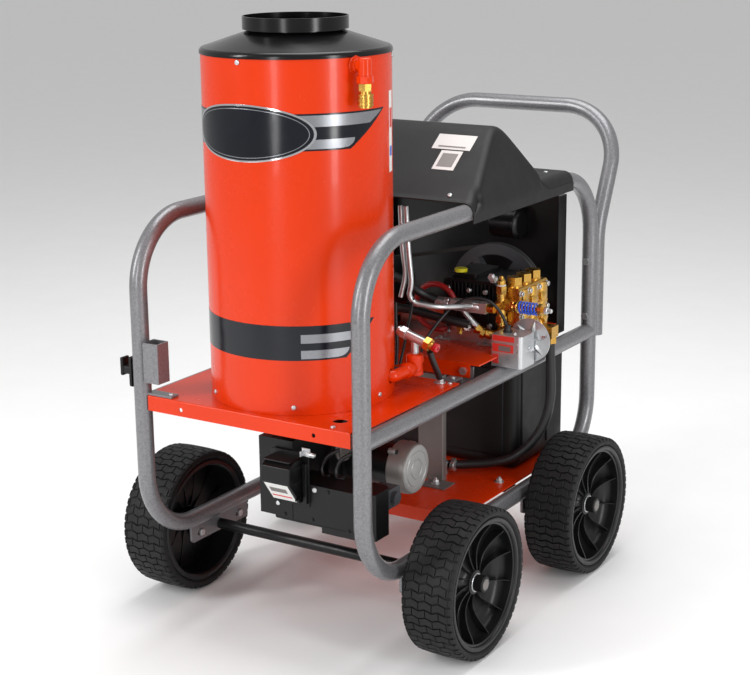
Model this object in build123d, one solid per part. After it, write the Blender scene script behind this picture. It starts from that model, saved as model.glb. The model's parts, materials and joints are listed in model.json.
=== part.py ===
from build123d import *
import math
import os

# Hot-water pressure washer on a four-wheel cart. Millimetres, +Z up, the boiler towards -Y and the
# push handle towards +Y. Left is the +X side, on the operator's left hand at the handle.
# Everything is laid out from the front posts' centreline at ground level, and moved at export so
# that the origin is under the middle of the whole machine.

TUBE_R = 19.05
TUBE_WALL = 2.1
FRAME_X = 278.0
REAR_POST_Y = 1040.0
TOP_RAIL_Z = 916.0
BOTTOM_RAIL_Z = 207.5
MID_RAIL_Z = 520.5
FRAME_BEND_R = 150.0
HANDLE_Y = 1078.4
HANDLE_FOOT_Z = 503.0
HANDLE_KINK_Z = 770.0
HANDLE_TOP_Y = 1209.4
HANDLE_TOP_Z = 1051.0
HANDLE_BOLT_ZS = (561.0, 698.0)
FRAME_BOLT_R = 5.0
BOLT_CLEARANCE = 0.25
GAP = 0.3

WHEEL_R = 165.0
WHEEL_MID_X = 371.0
TYRE_WIDTH = 117.0
RIM_R = 130.0
AXLE_YS = {"front": 246.75, "rear": 795.0}
AXLE_R = 9.525
AXLE_SLEEVE_R = 12.25
AXLE_SLEEVE_HALF = 316.0
AXLE_HALF = 412.0
RUNNING_CLEARANCE = 0.09

DECK_TOP_Z = 543.0
SHEET = 3.0
DECK_HALF_X = 257.0
DECK_FRONT_Y = -10.0
DECK_REAR_Y = 405.0
DECK_FLANGE_Z = 510.0
DECK_SCREW_X = 254.0
FLANGE_HOLE_X = 169.0
FLANGE_HOLE_Z = 524.0
FLANGE_HOLE_R = 4.75
PASS_HOLE = (195.0, 50.0)
PASS_HOLE_R = 16.0

LOWER_DECK_Z = 226.9
LOWER_DECK_YS = (420.0, 1000.0)

BOILER_Y = 201.0
BOILER_R = 196.0
JACKET_WALL = 1.6
LOW_SCREWS = (560.0, (-35, 29, 89, 149, 209, 269))
HIGH_SCREWS = (1255.0, (-1, 116, 236))
CORNER_TAB = (196.0, 18.0)
CORNER_SCREW = (206.0, 6.0)
JACKET_TOP_Z = 1268.0
NECK_R = 98.0
FLUE_R = 109.0
FLUE_WALL = 3.0
FLUE_TOP_Z = 1334.0
COIL_R = 150.0
COIL_PIPE_R = 13.5
COIL_TURNS = 14
COIL_PITCH = 38.0

OUTLET_ANGLE = 71.0
OUTLET_Z = 1247.0
DRAIN_PIPE = [(160, 240, 585), (195, 258, 585), (195, 343, 585)]
RELIEF_START = (154.0, 343.0, 661.3)
RELIEF_LEAN = (0.957, 0.0, -0.29)
COUPLER_BORE_R = 6.0

BURNER_AXIS = (287.0, 375.0)
SCROLL_R = 105.0
SCROLL_XS = (-58.0, 74.0)
BLOWER_R = 80.0
BLAST_TUBE_R = 55.0

BASE_TOP_Z = 566.0
BASE_YS = (480.0, 900.0)
PULLEY_Y = 820.0
PUMP_AXIS = (139.0, 645.0)
PUMP_PULLEY_R = 121.0
MOTOR_AXIS = (-150.0, 650.0)
MOTOR_PULLEY_R = 55.0
MOTOR_R = 82.0
BELT_WIDTH = 13.0
BELT_THICKNESS = 8.0
GROOVE_DEPTH = 9.5
CRANK_R = 12.0

TANK_YS = (750.0, 1010.0)
TANK_TOP_Z = 500.0
FUEL_CAP = (150.0, 905.0)

HOOD_HALF_X = 300.4
HOOD_YS = (411.0, 893.0)
HOOD_BASE_Z = 940.0
HOOD_SKIRT_Z = 895.0
HOOD_TOP_Z = 1075.0
HOOD_SLOPE_YS = (420.0, 750.0)
HOOD_RIDGE_YS = (598.0, 634.0)
HOOD_RIDGE_HALF_X = 245.0
HOOD_REAR_SCREW = (250.0, 847.0)
HOOD_FRONT_SCREW_X = 231.0

ORIGIN_Y = HANDLE_TOP_Y / 2


def box(x0, x1, y0, y1, z0, z1):
    centre = Pos((x0 + x1) / 2, (y0 + y1) / 2, (z0 + z1) / 2)
    return centre * Box(x1 - x0, y1 - y0, z1 - z0)


def round_box(x0, x1, y0, y1, z0, z1, radius, axis=None):
    solid = box(x0, x1, y0, y1, z0, z1)
    edges = solid.edges().filter_by(axis) if axis else solid.edges()
    return fillet(edges, radius)


def rod_x(y, z, radius, x0, x1):
    return Pos((x0 + x1) / 2, y, z) * Rot(0, 90, 0) * Cylinder(radius, x1 - x0)


def rod_y(x, z, radius, y0, y1):
    return Pos(x, (y0 + y1) / 2, z) * Rot(90, 0, 0) * Cylinder(radius, y1 - y0)


def rod_z(x, y, radius, z0, z1):
    return Pos(x, y, (z0 + z1) / 2) * Cylinder(radius, z1 - z0)


def ring_z(x, y, outer, inner, z0, z1):
    return rod_z(x, y, outer, z0, z1) - rod_z(x, y, inner, z0 - 1, z1 + 1)


def hex_prism(plane, across_flats, height):
    outline = plane * RegularPolygon(across_flats / math.sqrt(3), 6)
    return extrude(outline, height)


def hex_z(x, y, across_flats, z0, z1):
    return hex_prism(Plane(origin=(x, y, z0)), across_flats, z1 - z0)


def hex_y(x, z, across_flats, y0, y1):
    plane = Plane(origin=(x, y0, z), x_dir=(1, 0, 0), z_dir=(0, 1, 0))
    return hex_prism(plane, across_flats, y1 - y0)


def hex_x(y, z, across_flats, x0, x1):
    plane = Plane(origin=(x0, y, z), x_dir=(0, 0, 1), z_dir=(1, 0, 0))
    return hex_prism(plane, across_flats, x1 - x0)


def pipe(points, radii, radius, bore=0.0, close=False):
    path = FilletPolyline(*points, radius=radii, close=close)
    start = Plane(origin=path @ 0, z_dir=path % 0)
    solid = sweep(start * Circle(radius), path)
    if bore:
        solid -= sweep(start * Circle(bore), path)
    return solid


def bend_radii(points):
    """The largest arc each corner of a hose's route has room for."""
    radii = []
    for before, corner, after in zip(points, points[1:], points[2:]):
        run_in = Vector(*corner) - Vector(*before)
        run_out = Vector(*after) - Vector(*corner)
        turn = math.radians(run_in.get_angle(run_out))
        radii.append(0.45 * min(run_in.length, run_out.length) / math.tan(turn / 2))
    return radii


def hose(points, radius):
    return pipe(points, bend_radii(points), radius)


def group(solids):
    return Compound(list(solids))


def mirrored(solid):
    return mirror(solid, about=Plane.YZ)


def side_frame():
    corners = [
        (FRAME_X, 0, BOTTOM_RAIL_Z),
        (FRAME_X, REAR_POST_Y, BOTTOM_RAIL_Z),
        (FRAME_X, REAR_POST_Y, TOP_RAIL_Z),
        (FRAME_X, 0, TOP_RAIL_Z),
    ]
    loop = pipe(corners, FRAME_BEND_R, TUBE_R, TUBE_R - TUBE_WALL, close=True)
    for z in HANDLE_BOLT_ZS:
        hole = rod_y(FRAME_X, z, FRAME_BOLT_R + BOLT_CLEARANCE, REAR_POST_Y - 25, REAR_POST_Y + 25)
        loop -= hole
    return loop


def corner_tab(bottom):
    inner_x, rear_y = CORNER_TAB
    tab = box(inner_x, FRAME_X - TUBE_R + 2, -6, rear_y, bottom, bottom + 4.7)
    return tab - rod_z(*CORNER_SCREW, 4.3, bottom - 5, bottom + 10)


def mid_rail():
    rail = rod_y(FRAME_X, MID_RAIL_Z, TUBE_R, 0, REAR_POST_Y)
    rail -= rod_y(FRAME_X, MID_RAIL_Z, TUBE_R - TUBE_WALL, 0, REAR_POST_Y)
    for y in (0, REAR_POST_Y):
        rail -= rod_z(FRAME_X, y, TUBE_R + 0.05, MID_RAIL_Z - 40, MID_RAIL_Z + 40)
    for y in (BASE_YS[0] + SHEET + GAP, BASE_YS[1] - SHEET - GAP - 4):
        tab = box(222, FRAME_X - TUBE_R + 1.5, y, y + 4, MID_RAIL_Z - 12, MID_RAIL_Z + 38)
        rail += tab - rod_y(238, 548, 5.3, y - 2, y + 6)
    return rail


def push_handle():
    corners = []
    for x, order in ((-FRAME_X, 1), (FRAME_X, -1)):
        leg = [
            (x, HANDLE_Y, HANDLE_FOOT_Z),
            (x, HANDLE_Y, HANDLE_KINK_Z),
            (x, HANDLE_TOP_Y, HANDLE_TOP_Z),
        ]
        corners += leg[::order]
    handle = pipe(corners, FRAME_BEND_R, TUBE_R, TUBE_R - TUBE_WALL)
    for x in (-FRAME_X, FRAME_X):
        for z in HANDLE_BOLT_ZS:
            handle -= rod_y(x, z, FRAME_BOLT_R + BOLT_CLEARANCE, HANDLE_Y - 25, HANDLE_Y + 25)
    return handle


def through_bolt(x, z, y_head, y_nut):
    head = hex_y(x, z, 16, y_head - 6.5, y_head)
    nut = hex_y(x, z, 16, y_nut, y_nut + 8)
    return head + rod_y(x, z, FRAME_BOLT_R, y_head - 1, y_nut + 11) + nut


def frame_bolts():
    bolts = []
    for side in (-1, 1):
        for z in HANDLE_BOLT_ZS:
            head_y = REAR_POST_Y - TUBE_R - GAP
            nut_y = HANDLE_Y + TUBE_R + GAP
            bolts.append(through_bolt(side * FRAME_X, z, head_y, nut_y))
        bolts.append(through_bolt(side * 238, 548, BASE_YS[0] - GAP, BASE_YS[0] + SHEET + 5))
        bolts.append(through_bolt(side * 238, 548, BASE_YS[1] - SHEET - 5, BASE_YS[1] + GAP))
    return group(bolts)


def axle_bracket(side, y):
    top = BOTTOM_RAIL_Z - TUBE_R + 2
    plate = round_box(-3, 3, y - 105, y + 105, 150, top, 8, Axis.X)
    plate = Pos(side * FRAME_X, 0, 0) * plate
    for offset in (-72, 72):
        slot = Plane(origin=(0, y + offset, 168), x_dir=(0, 1, 0), z_dir=(1, 0, 0)) * SlotOverall(26, 12)
        plate -= extrude(slot, FRAME_X + 20, both=True)
    plate -= rod_x(y, WHEEL_R, AXLE_SLEEVE_R + 0.1, -400, 400)
    return plate - rod_y(side * FRAME_X, BOTTOM_RAIL_Z, TUBE_R + 0.05, y - 200, y + 200)


def axle_brackets():
    return group(axle_bracket(side, y) for side in (-1, 1) for y in AXLE_YS.values())


def axle(y):
    sleeve = rod_x(y, WHEEL_R, AXLE_SLEEVE_R, -AXLE_SLEEVE_HALF, AXLE_SLEEVE_HALF)
    return sleeve + rod_x(y, WHEEL_R, AXLE_R, -AXLE_HALF, AXLE_HALF)


def axle_cap(side, y):
    cap = rod_x(y, WHEEL_R, 18, 401, 424)
    cap = fillet(cap.edges().sort_by(Axis.X)[-1], 3)
    cap -= rod_x(y, WHEEL_R, AXLE_R + 0.05, 400, AXLE_HALF + 1)
    return cap if side > 0 else mirrored(cap)


def tyre(y):
    half = TYRE_WIDTH / 2
    with BuildPart() as solid:
        with BuildSketch(Plane.XZ):
            with BuildLine():
                Polyline((-half + 6.4, RIM_R + 4), (-half + 6.4, 144), (-half, 149), (-half + 3, 160))
                ThreePointArc((-half + 3, 160), (0, WHEEL_R), (half - 3, 160))
                Polyline((half - 3, 160), (half, 149), (half - 6.4, 144), (half - 6.4, RIM_R + 4))
                Line((half - 6.4, RIM_R + 4), (-half + 6.4, RIM_R + 4))
            make_face()
        revolve(axis=Axis.X)
    return Pos(WHEEL_MID_X, y, WHEEL_R) * solid.part


def rim(y):
    half = TYRE_WIDTH / 2
    hub_r = 26
    barrel_in = RIM_R - 3
    outline = [
        (-53, AXLE_R + RUNNING_CLEARANCE), (29, AXLE_R + RUNNING_CLEARANCE), (29, hub_r),
        (18, hub_r + 6), (14, 70), (20, barrel_in), (half - 6, barrel_in),
        (half - 2, 133), (half - 2, 143), (half - 5, 143), (half - 6, RIM_R + 3.5),
        (-half + 6, RIM_R + 3.5), (-half + 5, 143), (-half + 2, 143), (-half + 2, 133),
        (-half + 6, barrel_in), (13, barrel_in), (7, 70), (10, hub_r), (-53, hub_r - 4),
    ]
    with BuildPart() as solid:
        with BuildSketch(Plane.XZ):
            with BuildLine():
                Polyline(*outline, close=True)
            make_face()
        revolve(axis=Axis.X)
    return Pos(WHEEL_MID_X, y, WHEEL_R) * solid.part


def upper_deck():
    plate = box(-DECK_HALF_X, DECK_HALF_X, DECK_FRONT_Y, DECK_REAR_Y, DECK_TOP_Z - SHEET, DECK_TOP_Z)
    plate += box(-270, 270, 24, DECK_REAR_Y, DECK_TOP_Z - SHEET, DECK_TOP_Z)
    plate += box(-DECK_HALF_X, DECK_HALF_X, DECK_FRONT_Y, DECK_FRONT_Y + SHEET, DECK_FLANGE_Z, DECK_TOP_Z)
    plate += box(-250, 250, DECK_REAR_Y - SHEET, DECK_REAR_Y, DECK_FLANGE_Z, DECK_TOP_Z)
    front_edge = plate.edges().filter_by(Axis.X).group_by(Axis.Z)[-1].sort_by(Axis.Y)[0]
    plate = fillet(front_edge, 2.5)
    plate -= rod_z(*PASS_HOLE, PASS_HOLE_R, DECK_TOP_Z - 10, DECK_TOP_Z + 10)
    plate -= rod_z(0, BOILER_Y, BLAST_TUBE_R + 3, DECK_TOP_Z - 10, DECK_TOP_Z + 10)
    for side in (-1, 1):
        plate -= rod_y(side * FLANGE_HOLE_X, FLANGE_HOLE_Z, FLANGE_HOLE_R, DECK_FRONT_Y - 5, 5)
        plate -= rod_z(side * 206, 6, 4.3, DECK_TOP_Z - 10, DECK_TOP_Z + 10)
        plate -= rod_z(side * DECK_SCREW_X, DECK_REAR_Y - 14, 3.4, DECK_TOP_Z - 10, DECK_TOP_Z + 10)
    return plate


def lower_deck():
    y0, y1 = LOWER_DECK_YS
    plate = box(-267, 267, y0, y1, LOWER_DECK_Z, LOWER_DECK_Z + SHEET)
    plate += box(-255, 255, y0, y0 + SHEET, LOWER_DECK_Z - 28, LOWER_DECK_Z + SHEET)
    plate += box(-255, 255, y1 - SHEET, y1, LOWER_DECK_Z - 28, LOWER_DECK_Z + SHEET)
    for side in (-1, 1):
        for y in (y0 + 14, y1 - 14):
            plate -= rod_z(side * 240, y, 3.4, LOWER_DECK_Z - 10, LOWER_DECK_Z + 10)
    return plate


def pump_base():
    y0, y1 = BASE_YS
    base = box(-258, 258, y0, y1, BASE_TOP_Z - SHEET, BASE_TOP_Z)
    base += box(255, 277, y0, 562, BASE_TOP_Z - SHEET, BASE_TOP_Z)
    base += box(-250, 253, y0, y0 + SHEET, 533, BASE_TOP_Z)
    base += box(-250, 253, y1 - SHEET, y1, 533, BASE_TOP_Z)
    base -= box(-60, 246, PULLEY_Y - 24, PULLEY_Y + 24, BASE_TOP_Z - 10, BASE_TOP_Z + 10)
    for side in (-1, 1):
        base -= rod_y(side * 238, 548, 5.3, y0 - 5, y1 + 5)
    return base


def pan_screw(plane, length=9.0):
    head = extrude(Circle(5.4), 3.2)
    head = fillet(head.edges().sort_by(Axis.Z)[-1], 2.4)
    head -= Pos(0, 0, 2.4) * (Box(5.6, 1.2, 2) + Box(1.2, 5.6, 2))
    shank = Pos(0, 0, -length / 2 + 0.5) * Cylinder(2.4, length + 1)
    return plane.location * (head + shank)


def jacket_plane(angle, z):
    out = Vector(math.sin(math.radians(angle)), -math.cos(math.radians(angle)), 0)
    return Plane(origin=Vector(0, BOILER_Y, z) + out * (BOILER_R + 0.05), z_dir=out)


def screws():
    planes = jacket_screws()
    planes += [Plane(origin=(-CORNER_SCREW[0], CORNER_SCREW[1], DECK_TOP_Z + 5.1))]
    planes += [Plane(origin=(*CORNER_SCREW, DECK_TOP_Z + 0.1))]
    planes += [Plane(origin=(side * DECK_SCREW_X, DECK_REAR_Y - 14, DECK_TOP_Z + 0.1)) for side in (-1, 1)]
    planes += [
        Plane(origin=(side * 240, y, LOWER_DECK_Z + SHEET + 0.1))
        for side in (-1, 1)
        for y in (LOWER_DECK_YS[0] + 14, LOWER_DECK_YS[1] - 14)
    ]
    planes += hood_screws()
    return group(pan_screw(plane, 5.0) for plane in planes)


def wand_socket():
    socket = box(-258.6, -218, -19, 19, 574, 661) - box(-255.4, -221.2, -15.8, 15.8, 570, 670)
    return fillet(socket.edges().filter_by(Axis.Z), 1.5)


def hose_hook():
    x = -FRAME_X - TUBE_R - GAP
    back = round_box(x - 6, x, -13, 13, 556, 622, 5, Axis.X)
    peg = round_box(x - 26, x - 4, -10, 10, 582, 600, 4, Axis.X)
    lip = round_box(x - 32, x - 24, -12, 12, 578, 618, 3)
    return back + peg + lip


def boiler_jacket():
    jacket = ring_z(0, BOILER_Y, BOILER_R, BOILER_R - JACKET_WALL, DECK_TOP_Z + GAP, JACKET_TOP_Z)
    jacket -= jacket_plane(OUTLET_ANGLE, OUTLET_Z).location * Cylinder(13, 60)
    for plane in jacket_screws():
        jacket -= plane.location * Cylinder(2.6, 30)
    return jacket - pipe(DRAIN_PIPE, 14, 16)


def boiler_cone():
    skirt_r = BOILER_R + 2.2
    with BuildPart() as cone:
        with BuildSketch(Plane.XZ):
            with BuildLine():
                Line((BOILER_R + GAP, 1262), (skirt_r, 1262))
                Line((skirt_r, 1262), (skirt_r, 1266))
                ThreePointArc((skirt_r, 1266), (195.5, 1272), (189, 1275))
                Line((189, 1275), (NECK_R + 6, 1303))
                Polyline((NECK_R + 6, 1303), (NECK_R, 1306), (NECK_R, 1311), (NECK_R - 2, 1311))
                Polyline((NECK_R - 2, 1311), (NECK_R - 2, 1303.5), (187, 1272), (BOILER_R + GAP, 1269))
                Line((BOILER_R + GAP, 1269), (BOILER_R + GAP, 1262))
            make_face()
        revolve(axis=Axis.Z)
    return Pos(0, BOILER_Y, 0) * cone.part


def flue_collar():
    wall = ring_z(0, BOILER_Y, FLUE_R, FLUE_R - FLUE_WALL, 1308, FLUE_TOP_Z)
    floor = ring_z(0, BOILER_Y, FLUE_R, NECK_R + GAP, 1308, 1311)
    return wall + floor


def heating_coil():
    bottom = 620
    turns = [
        Pos(0, BOILER_Y, bottom + COIL_PITCH * turn) * Torus(COIL_R, COIL_PIPE_R)
        for turn in range(COIL_TURNS)
    ]
    return group(turns)


def jacket_screws():
    return [jacket_plane(angle, z) for z, angles in (LOW_SCREWS, HIGH_SCREWS) for angle in angles]


def outlet_point(radius, z=OUTLET_Z):
    angle = math.radians(OUTLET_ANGLE)
    return (radius * math.sin(angle), BOILER_Y - radius * math.cos(angle), z)


def outlet_elbow():
    x, y, _ = outlet_point(226)
    stub = Plane(origin=outlet_point(166), z_dir=Vector(*outlet_point(226)) - Vector(*outlet_point(166)))
    arm = stub.location * Pos(0, 0, 30) * Cylinder(11, 60)
    body = rod_z(x, y, 13.5, 1224, 1263)
    body = fillet(body.edges().sort_by(Axis.Z)[-1], 6)
    return arm + body + rod_z(x, y, 15.5, 1214, 1228)


def quick_coupler():
    x, y, _ = outlet_point(226)
    body = hex_z(x, y, 24, 1199, 1213.7) + rod_z(x, y, 11.5, 1167, 1200)
    body += rod_z(x, y, 13.5, 1166, 1169)
    return body - rod_z(x, y, COUPLER_BORE_R, 1160, 1206)


def coupler_sleeve():
    x, y, _ = outlet_point(226)
    sleeve = ring_z(x, y, 16, 11.58, 1170, 1193)
    for z in (1176, 1187):
        sleeve -= ring_z(x, y, 17, 14.8, z - 1.5, z + 1.5)
    return sleeve


def burner_housing():
    y, z = BURNER_AXIS
    x0, x1 = SCROLL_XS
    shell = rod_x(y, z, SCROLL_R, x0, x1)
    shell += rod_z(0, BOILER_Y, BLAST_TUBE_R, z, 600)
    shield = box(16, 258, 65, 146, 297, 385) + box(134, 258, 65, 146, 284, 300)
    shield = chamfer(shield.edges().filter_by(Axis.Z).sort_by(Axis.X)[-2:], 16)
    shell += shield + box(-26, x1 - 14, 70, 220, 300, 470)
    shell -= rod_x(y, z, SCROLL_R - 3, x0 + 3, x1 - 3)
    shell -= rod_z(0, BOILER_Y, BLAST_TUBE_R - 2, z + 40, 602)
    shell -= rod_x(y, z, 8.5, x1 - 5, x1 + 5)
    return shell - rod_x(y, z, 30, x0 - 5, x0 + 5)


def burner_control_box():
    with BuildPart() as case:
        with BuildSketch(Plane.YZ.offset(20)):
            with BuildLine():
                Polyline((48, 346), (10, 398), (12, 430), (30, 442), (64.5, 442), (64.5, 346), (48, 346))
            make_face()
        extrude(amount=72)
    return fillet(case.part.edges(), 3)


def burner_motor():
    y, z = BURNER_AXIS
    body = rod_x(y, z, 46, 78, 190) + rod_x(y, z, 56, 188, 232)
    body = chamfer(body.edges().filter_by(GeomType.CIRCLE).sort_by(Axis.X)[-1], 3)
    for ring in (20, 38):
        body -= rod_x(y, z, ring, 230.8, 234) - rod_x(y, z, ring - 2, 230, 235)
    for angle in (45, 135, 225, 315):
        lug_y = y + 58 * math.cos(math.radians(angle))
        lug_z = z + 58 * math.sin(math.radians(angle))
        body += rod_x(lug_y, lug_z, 6, 188, 204)
    body += rod_x(y, z, 60, SCROLL_XS[1] + GAP, 79)
    body -= rod_x(y, z, 40, 82, 222)
    return body - rod_x(y, z, 6.4, 70, 223)


def blower_wheel():
    y, z = BURNER_AXIS
    wheel = rod_x(y, z, BLOWER_R, -48, 66) - rod_x(y, z, BLOWER_R - 12, -50, 62)
    wheel += rod_x(y, z, 15, 30, 66)
    shaft = rod_x(y, z, 6.35, 60, 216)
    return wheel + shaft + rod_x(y, z, 38, 95, 205)


def fuel_pump():
    case = round_box(200, 244, 146.3, 198, 328, 370, 6, Axis.X)
    case += rod_x(172, 349, 14, 242, 254)
    return case + rod_z(214, 172, 5, 320, 329)


def pump_rails():
    rails = []
    for y in (642, 752):
        rail = box(96, 222, y, y + 26, BASE_TOP_Z + 0.2, 600)
        rails.append(rail - box(90, 230, y + SHEET, y + 27, BASE_TOP_Z + 3, 597))
    return group(rails)


def pump_crankcase():
    axis_x, axis_z = PUMP_AXIS
    case = round_box(95, 231.7, 640, 780, 600.2, 715, 14, Axis.Y)
    case += round_box(105, 175, 655, 765, 700, 725, 8, Axis.Z)
    case += rod_y(axis_x, axis_z, 34, 778, 796)
    for step in range(11):
        x = 118 + 10 * step
        case -= box(x, x + 4, 635, 646, 676, 705)
    case -= rod_y(axis_x, axis_z, 36, 652, 768)
    case -= rod_y(axis_x, axis_z, CRANK_R + 0.05, 760, 800)
    return case - rod_z(125, 668, 8.3, 670, 730)


def pump_head():
    head = round_box(232, 288, 648, 788, 568, 705, 7, Axis.Y)
    for y in (672, 718, 764):
        head += rod_z(262, y, 19, 700, 708)
        head += rod_z(280, y, 15, 575, 700)
        head -= rod_z(262, y, 13.2, 680, 720)
    return head


def valve_caps():
    caps = []
    for y in (672, 718, 764):
        caps.append(hex_z(262, y, 33, 708.2, 727) + rod_z(262, y, 13, 684, 709))
    return group(caps)


def oil_cap():
    cap = rod_z(125, 668, 15, 725.4, 733)
    cap = fillet(cap.edges().sort_by(Axis.Z)[-1], 2)
    return cap + rod_z(125, 668, 8.2, 716, 726)


def pump_crankshaft():
    x, z = PUMP_AXIS
    shaft = rod_y(x, z, CRANK_R, 656, 836)
    for index, y in enumerate((672, 702, 732)):
        angle = math.radians(120 * index)
        offset_x = x + 9 * math.cos(angle)
        offset_z = z + 9 * math.sin(angle)
        shaft += rod_y(offset_x, offset_z, 24, y, y + 18)
    return shaft


def pulley_blank(x, z, radius):
    half = BELT_WIDTH / 2 + 4
    wheel = rod_y(x, z, radius, PULLEY_Y - half, PULLEY_Y + half)
    groove = rod_y(x, z, radius + 2, PULLEY_Y - BELT_WIDTH / 2 - 0.4, PULLEY_Y + BELT_WIDTH / 2 + 0.4)
    return wheel - (groove - rod_y(x, z, radius - GROOVE_DEPTH, PULLEY_Y - 30, PULLEY_Y + 30))


def pump_pulley():
    x, z = PUMP_AXIS
    wheel = pulley_blank(x, z, PUMP_PULLEY_R)
    rim_inner = PUMP_PULLEY_R - 26
    window = rod_y(x, z, rim_inner, PULLEY_Y - 40, PULLEY_Y + 40)
    window -= rod_y(x, z, 34, PULLEY_Y - 40, PULLEY_Y + 40)
    for spoke in range(5):
        arm = Pos(x, PULLEY_Y, z) * Rot(0, 72 * spoke - 54, 0) * Pos(60, 0, 0) * Box(120, 90, 20)
        window -= arm
    wheel -= window
    wheel += rod_y(x, z, 32, PULLEY_Y - 18, PULLEY_Y + 14)
    return wheel - rod_y(x, z, CRANK_R + 0.05, PULLEY_Y - 30, PULLEY_Y + 30)


def motor_pulley():
    x, z = MOTOR_AXIS
    wheel = pulley_blank(x, z, MOTOR_PULLEY_R)
    wheel += rod_y(x, z, 24, PULLEY_Y - 16, PULLEY_Y + 16)
    return wheel - rod_y(x, z, 8.05, PULLEY_Y - 30, PULLEY_Y + 30)


def belt_outline(extra):
    (x0, z0), (x1, z1) = MOTOR_AXIS, PUMP_AXIS
    r0 = MOTOR_PULLEY_R - GROOVE_DEPTH + extra
    r1 = PUMP_PULLEY_R - GROOVE_DEPTH + extra
    span = math.hypot(x1 - x0, z1 - z0)
    along = math.atan2(z1 - z0, x1 - x0)
    lean = math.acos((r0 - r1) / span)
    corners = []
    for sign in (1, -1):
        angle = along + sign * lean
        for x, z, radius in ((x0, z0, r0), (x1, z1, r1)):
            corners.append((x + radius * math.cos(angle), z + radius * math.sin(angle)))
    top_motor, top_pump, low_motor, low_pump = corners
    back = (x0 - r0 * math.cos(along), z0 - r0 * math.sin(along))
    front = (x1 + r1 * math.cos(along), z1 + r1 * math.sin(along))
    with BuildSketch(Plane(origin=(0, PULLEY_Y, 0), x_dir=(1, 0, 0), z_dir=(0, -1, 0))) as face:
        with BuildLine():
            Line(top_motor, top_pump)
            ThreePointArc(top_pump, front, low_pump)
            Line(low_pump, low_motor)
            ThreePointArc(low_motor, back, top_motor)
        make_face()
    return extrude(face.sketch, BELT_WIDTH / 2, both=True)


def drive_belt():
    return belt_outline(GAP + BELT_THICKNESS) - belt_outline(GAP)


def drive_motor():
    x, z = MOTOR_AXIS
    body = rod_y(x, z, MOTOR_R, 545, 768)
    body = chamfer(body.edges().filter_by(GeomType.CIRCLE), 6)
    body += box(x - 66, x + 66, 590, 740, BASE_TOP_Z + 0.2, BASE_TOP_Z + 14)
    body += round_box(x - 35, x + 35, 610, 700, z + 60, z + 106, 6, Axis.Z)
    body -= rod_y(x, z, 66, 560, 756)
    return body - rod_y(x, z, 8.05, 740, 790)


def motor_rotor():
    x, z = MOTOR_AXIS
    return rod_y(x, z, 8, 570, 838) + rod_y(x, z, 60, 590, 730)


def unloader_valve():
    body = rod_x(632, 668, 12, 240, 292) + hex_x(632, 668, 26, 262, 276)
    body += rod_z(250, 632, 11, 640, 700) + hex_z(250, 632, 22, 694, 712)
    body += rod_y(250, 668, 10, 618, 647.8) + rod_x(601, 664, 10, 232.2, 250) + rod_y(250, 666, 10, 600, 625)
    body += rod_x(632, 668, 4, 290, 366)
    return body + hex_z(250, 632, 24, 628, 642)


def unloader_spring():
    coils = [
        Pos(297.5 + 6.5 * turn, 632, 668) * Rot(0, 90, 0) * Torus(12.3, 2.4) for turn in range(8)
    ]
    return group(coils)


def unloader_nut():
    knob = rod_x(632, 668, 14, 347, 355) + hex_x(632, 668, 13, 354.5, 361)
    return knob - rod_x(632, 668, 4.06, 340, 365)


def thermostat_box():
    case = box(258.4, 334, 572, 640, 541, 615)
    case = fillet(case.edges().filter_by(Axis.Z).sort_by(Axis.X)[-2:], 9)
    case += rod_y(318, 592, 6, 636, 641.2)
    return case - rod_y(318, 592, 2.6, 630, 645)


def thermostat_dial():
    disc = rod_y(318, 592, 50, 641.6, 645)
    disc -= rod_y(318, 592, 47, 641.0, 642.8) - rod_y(318, 592, 18, 640, 644)
    disc += rod_y(318, 592, 2.5, 632, 642.5)
    return disc


def relief_plane(along):
    return Plane(origin=RELIEF_START, z_dir=RELIEF_LEAN).offset(along)


def relief_valve():
    body = hex_prism(relief_plane(70.3), 27, 13)
    body += relief_plane(70.3).location * Pos(0, 0, 14) * Cylinder(9, 12)
    return body


def outlet_pipe():
    x, y, z = DRAIN_PIPE[-1]
    return pipe(DRAIN_PIPE, 14, 13) + rod_z(x, y, 16.5, z - 17, 614) + rod_z(x, y, 19, z + 12, 606)


def black_hoses():
    routes = [
        (
            [(4, 401, 752), (12, 430, 752), (24, 468, 747), (40, 500, 740), (48, 545, 716),
             (66, 583, 684), (106, 600, 665)],
            10,
        ),
        ([(230, 347, 621), (231, 354, 604), (232, 366, 584), (232, 380, 562), (232, 386, 551)], 7),
        (
            [(-24, 400, 668), (-18, 440, 665), (-4, 500, 660), (20, 545, 653), (50, 558, 649),
             (90, 570, 640), (130, 580, 632), (192, 590, 622)],
            10,
        ),
        (
            [(310, 764, 555.9), (310, 766, 515), (312, 768, 470), (312, 768, 425), (306, 764, 380),
             (290, 755, 335), (262, 741, 295), (228, 724, 268), (182, 705, 255), (135, 680, 252),
             (101, 655, 252)],
            11,
        ),
        (
            [(282, 604, 616.5), (280, 602, 632), (270, 590, 664), (249, 580, 688), (219, 572, 694),
             (186, 566, 685), (160, 556, 665), (144, 530, 637), (135, 500, 610), (130, 486, 590),
             (126, 482, 568.5)],
            3.5,
        ),
    ]
    return group(hose(points, radius) for points, radius in routes)


def red_hose():
    centre_x, centre_z = 83, 646
    points = [(138, 636, 652)]
    for step in range(9):
        angle = math.radians(12 + 34 * step)
        y = 626 - 0.5 * step
        points.append((centre_x + 55 * math.cos(angle), y, centre_z + 55 * math.sin(angle)))
    return hose(points + [(104, 636, 594)], 6.5)


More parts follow.
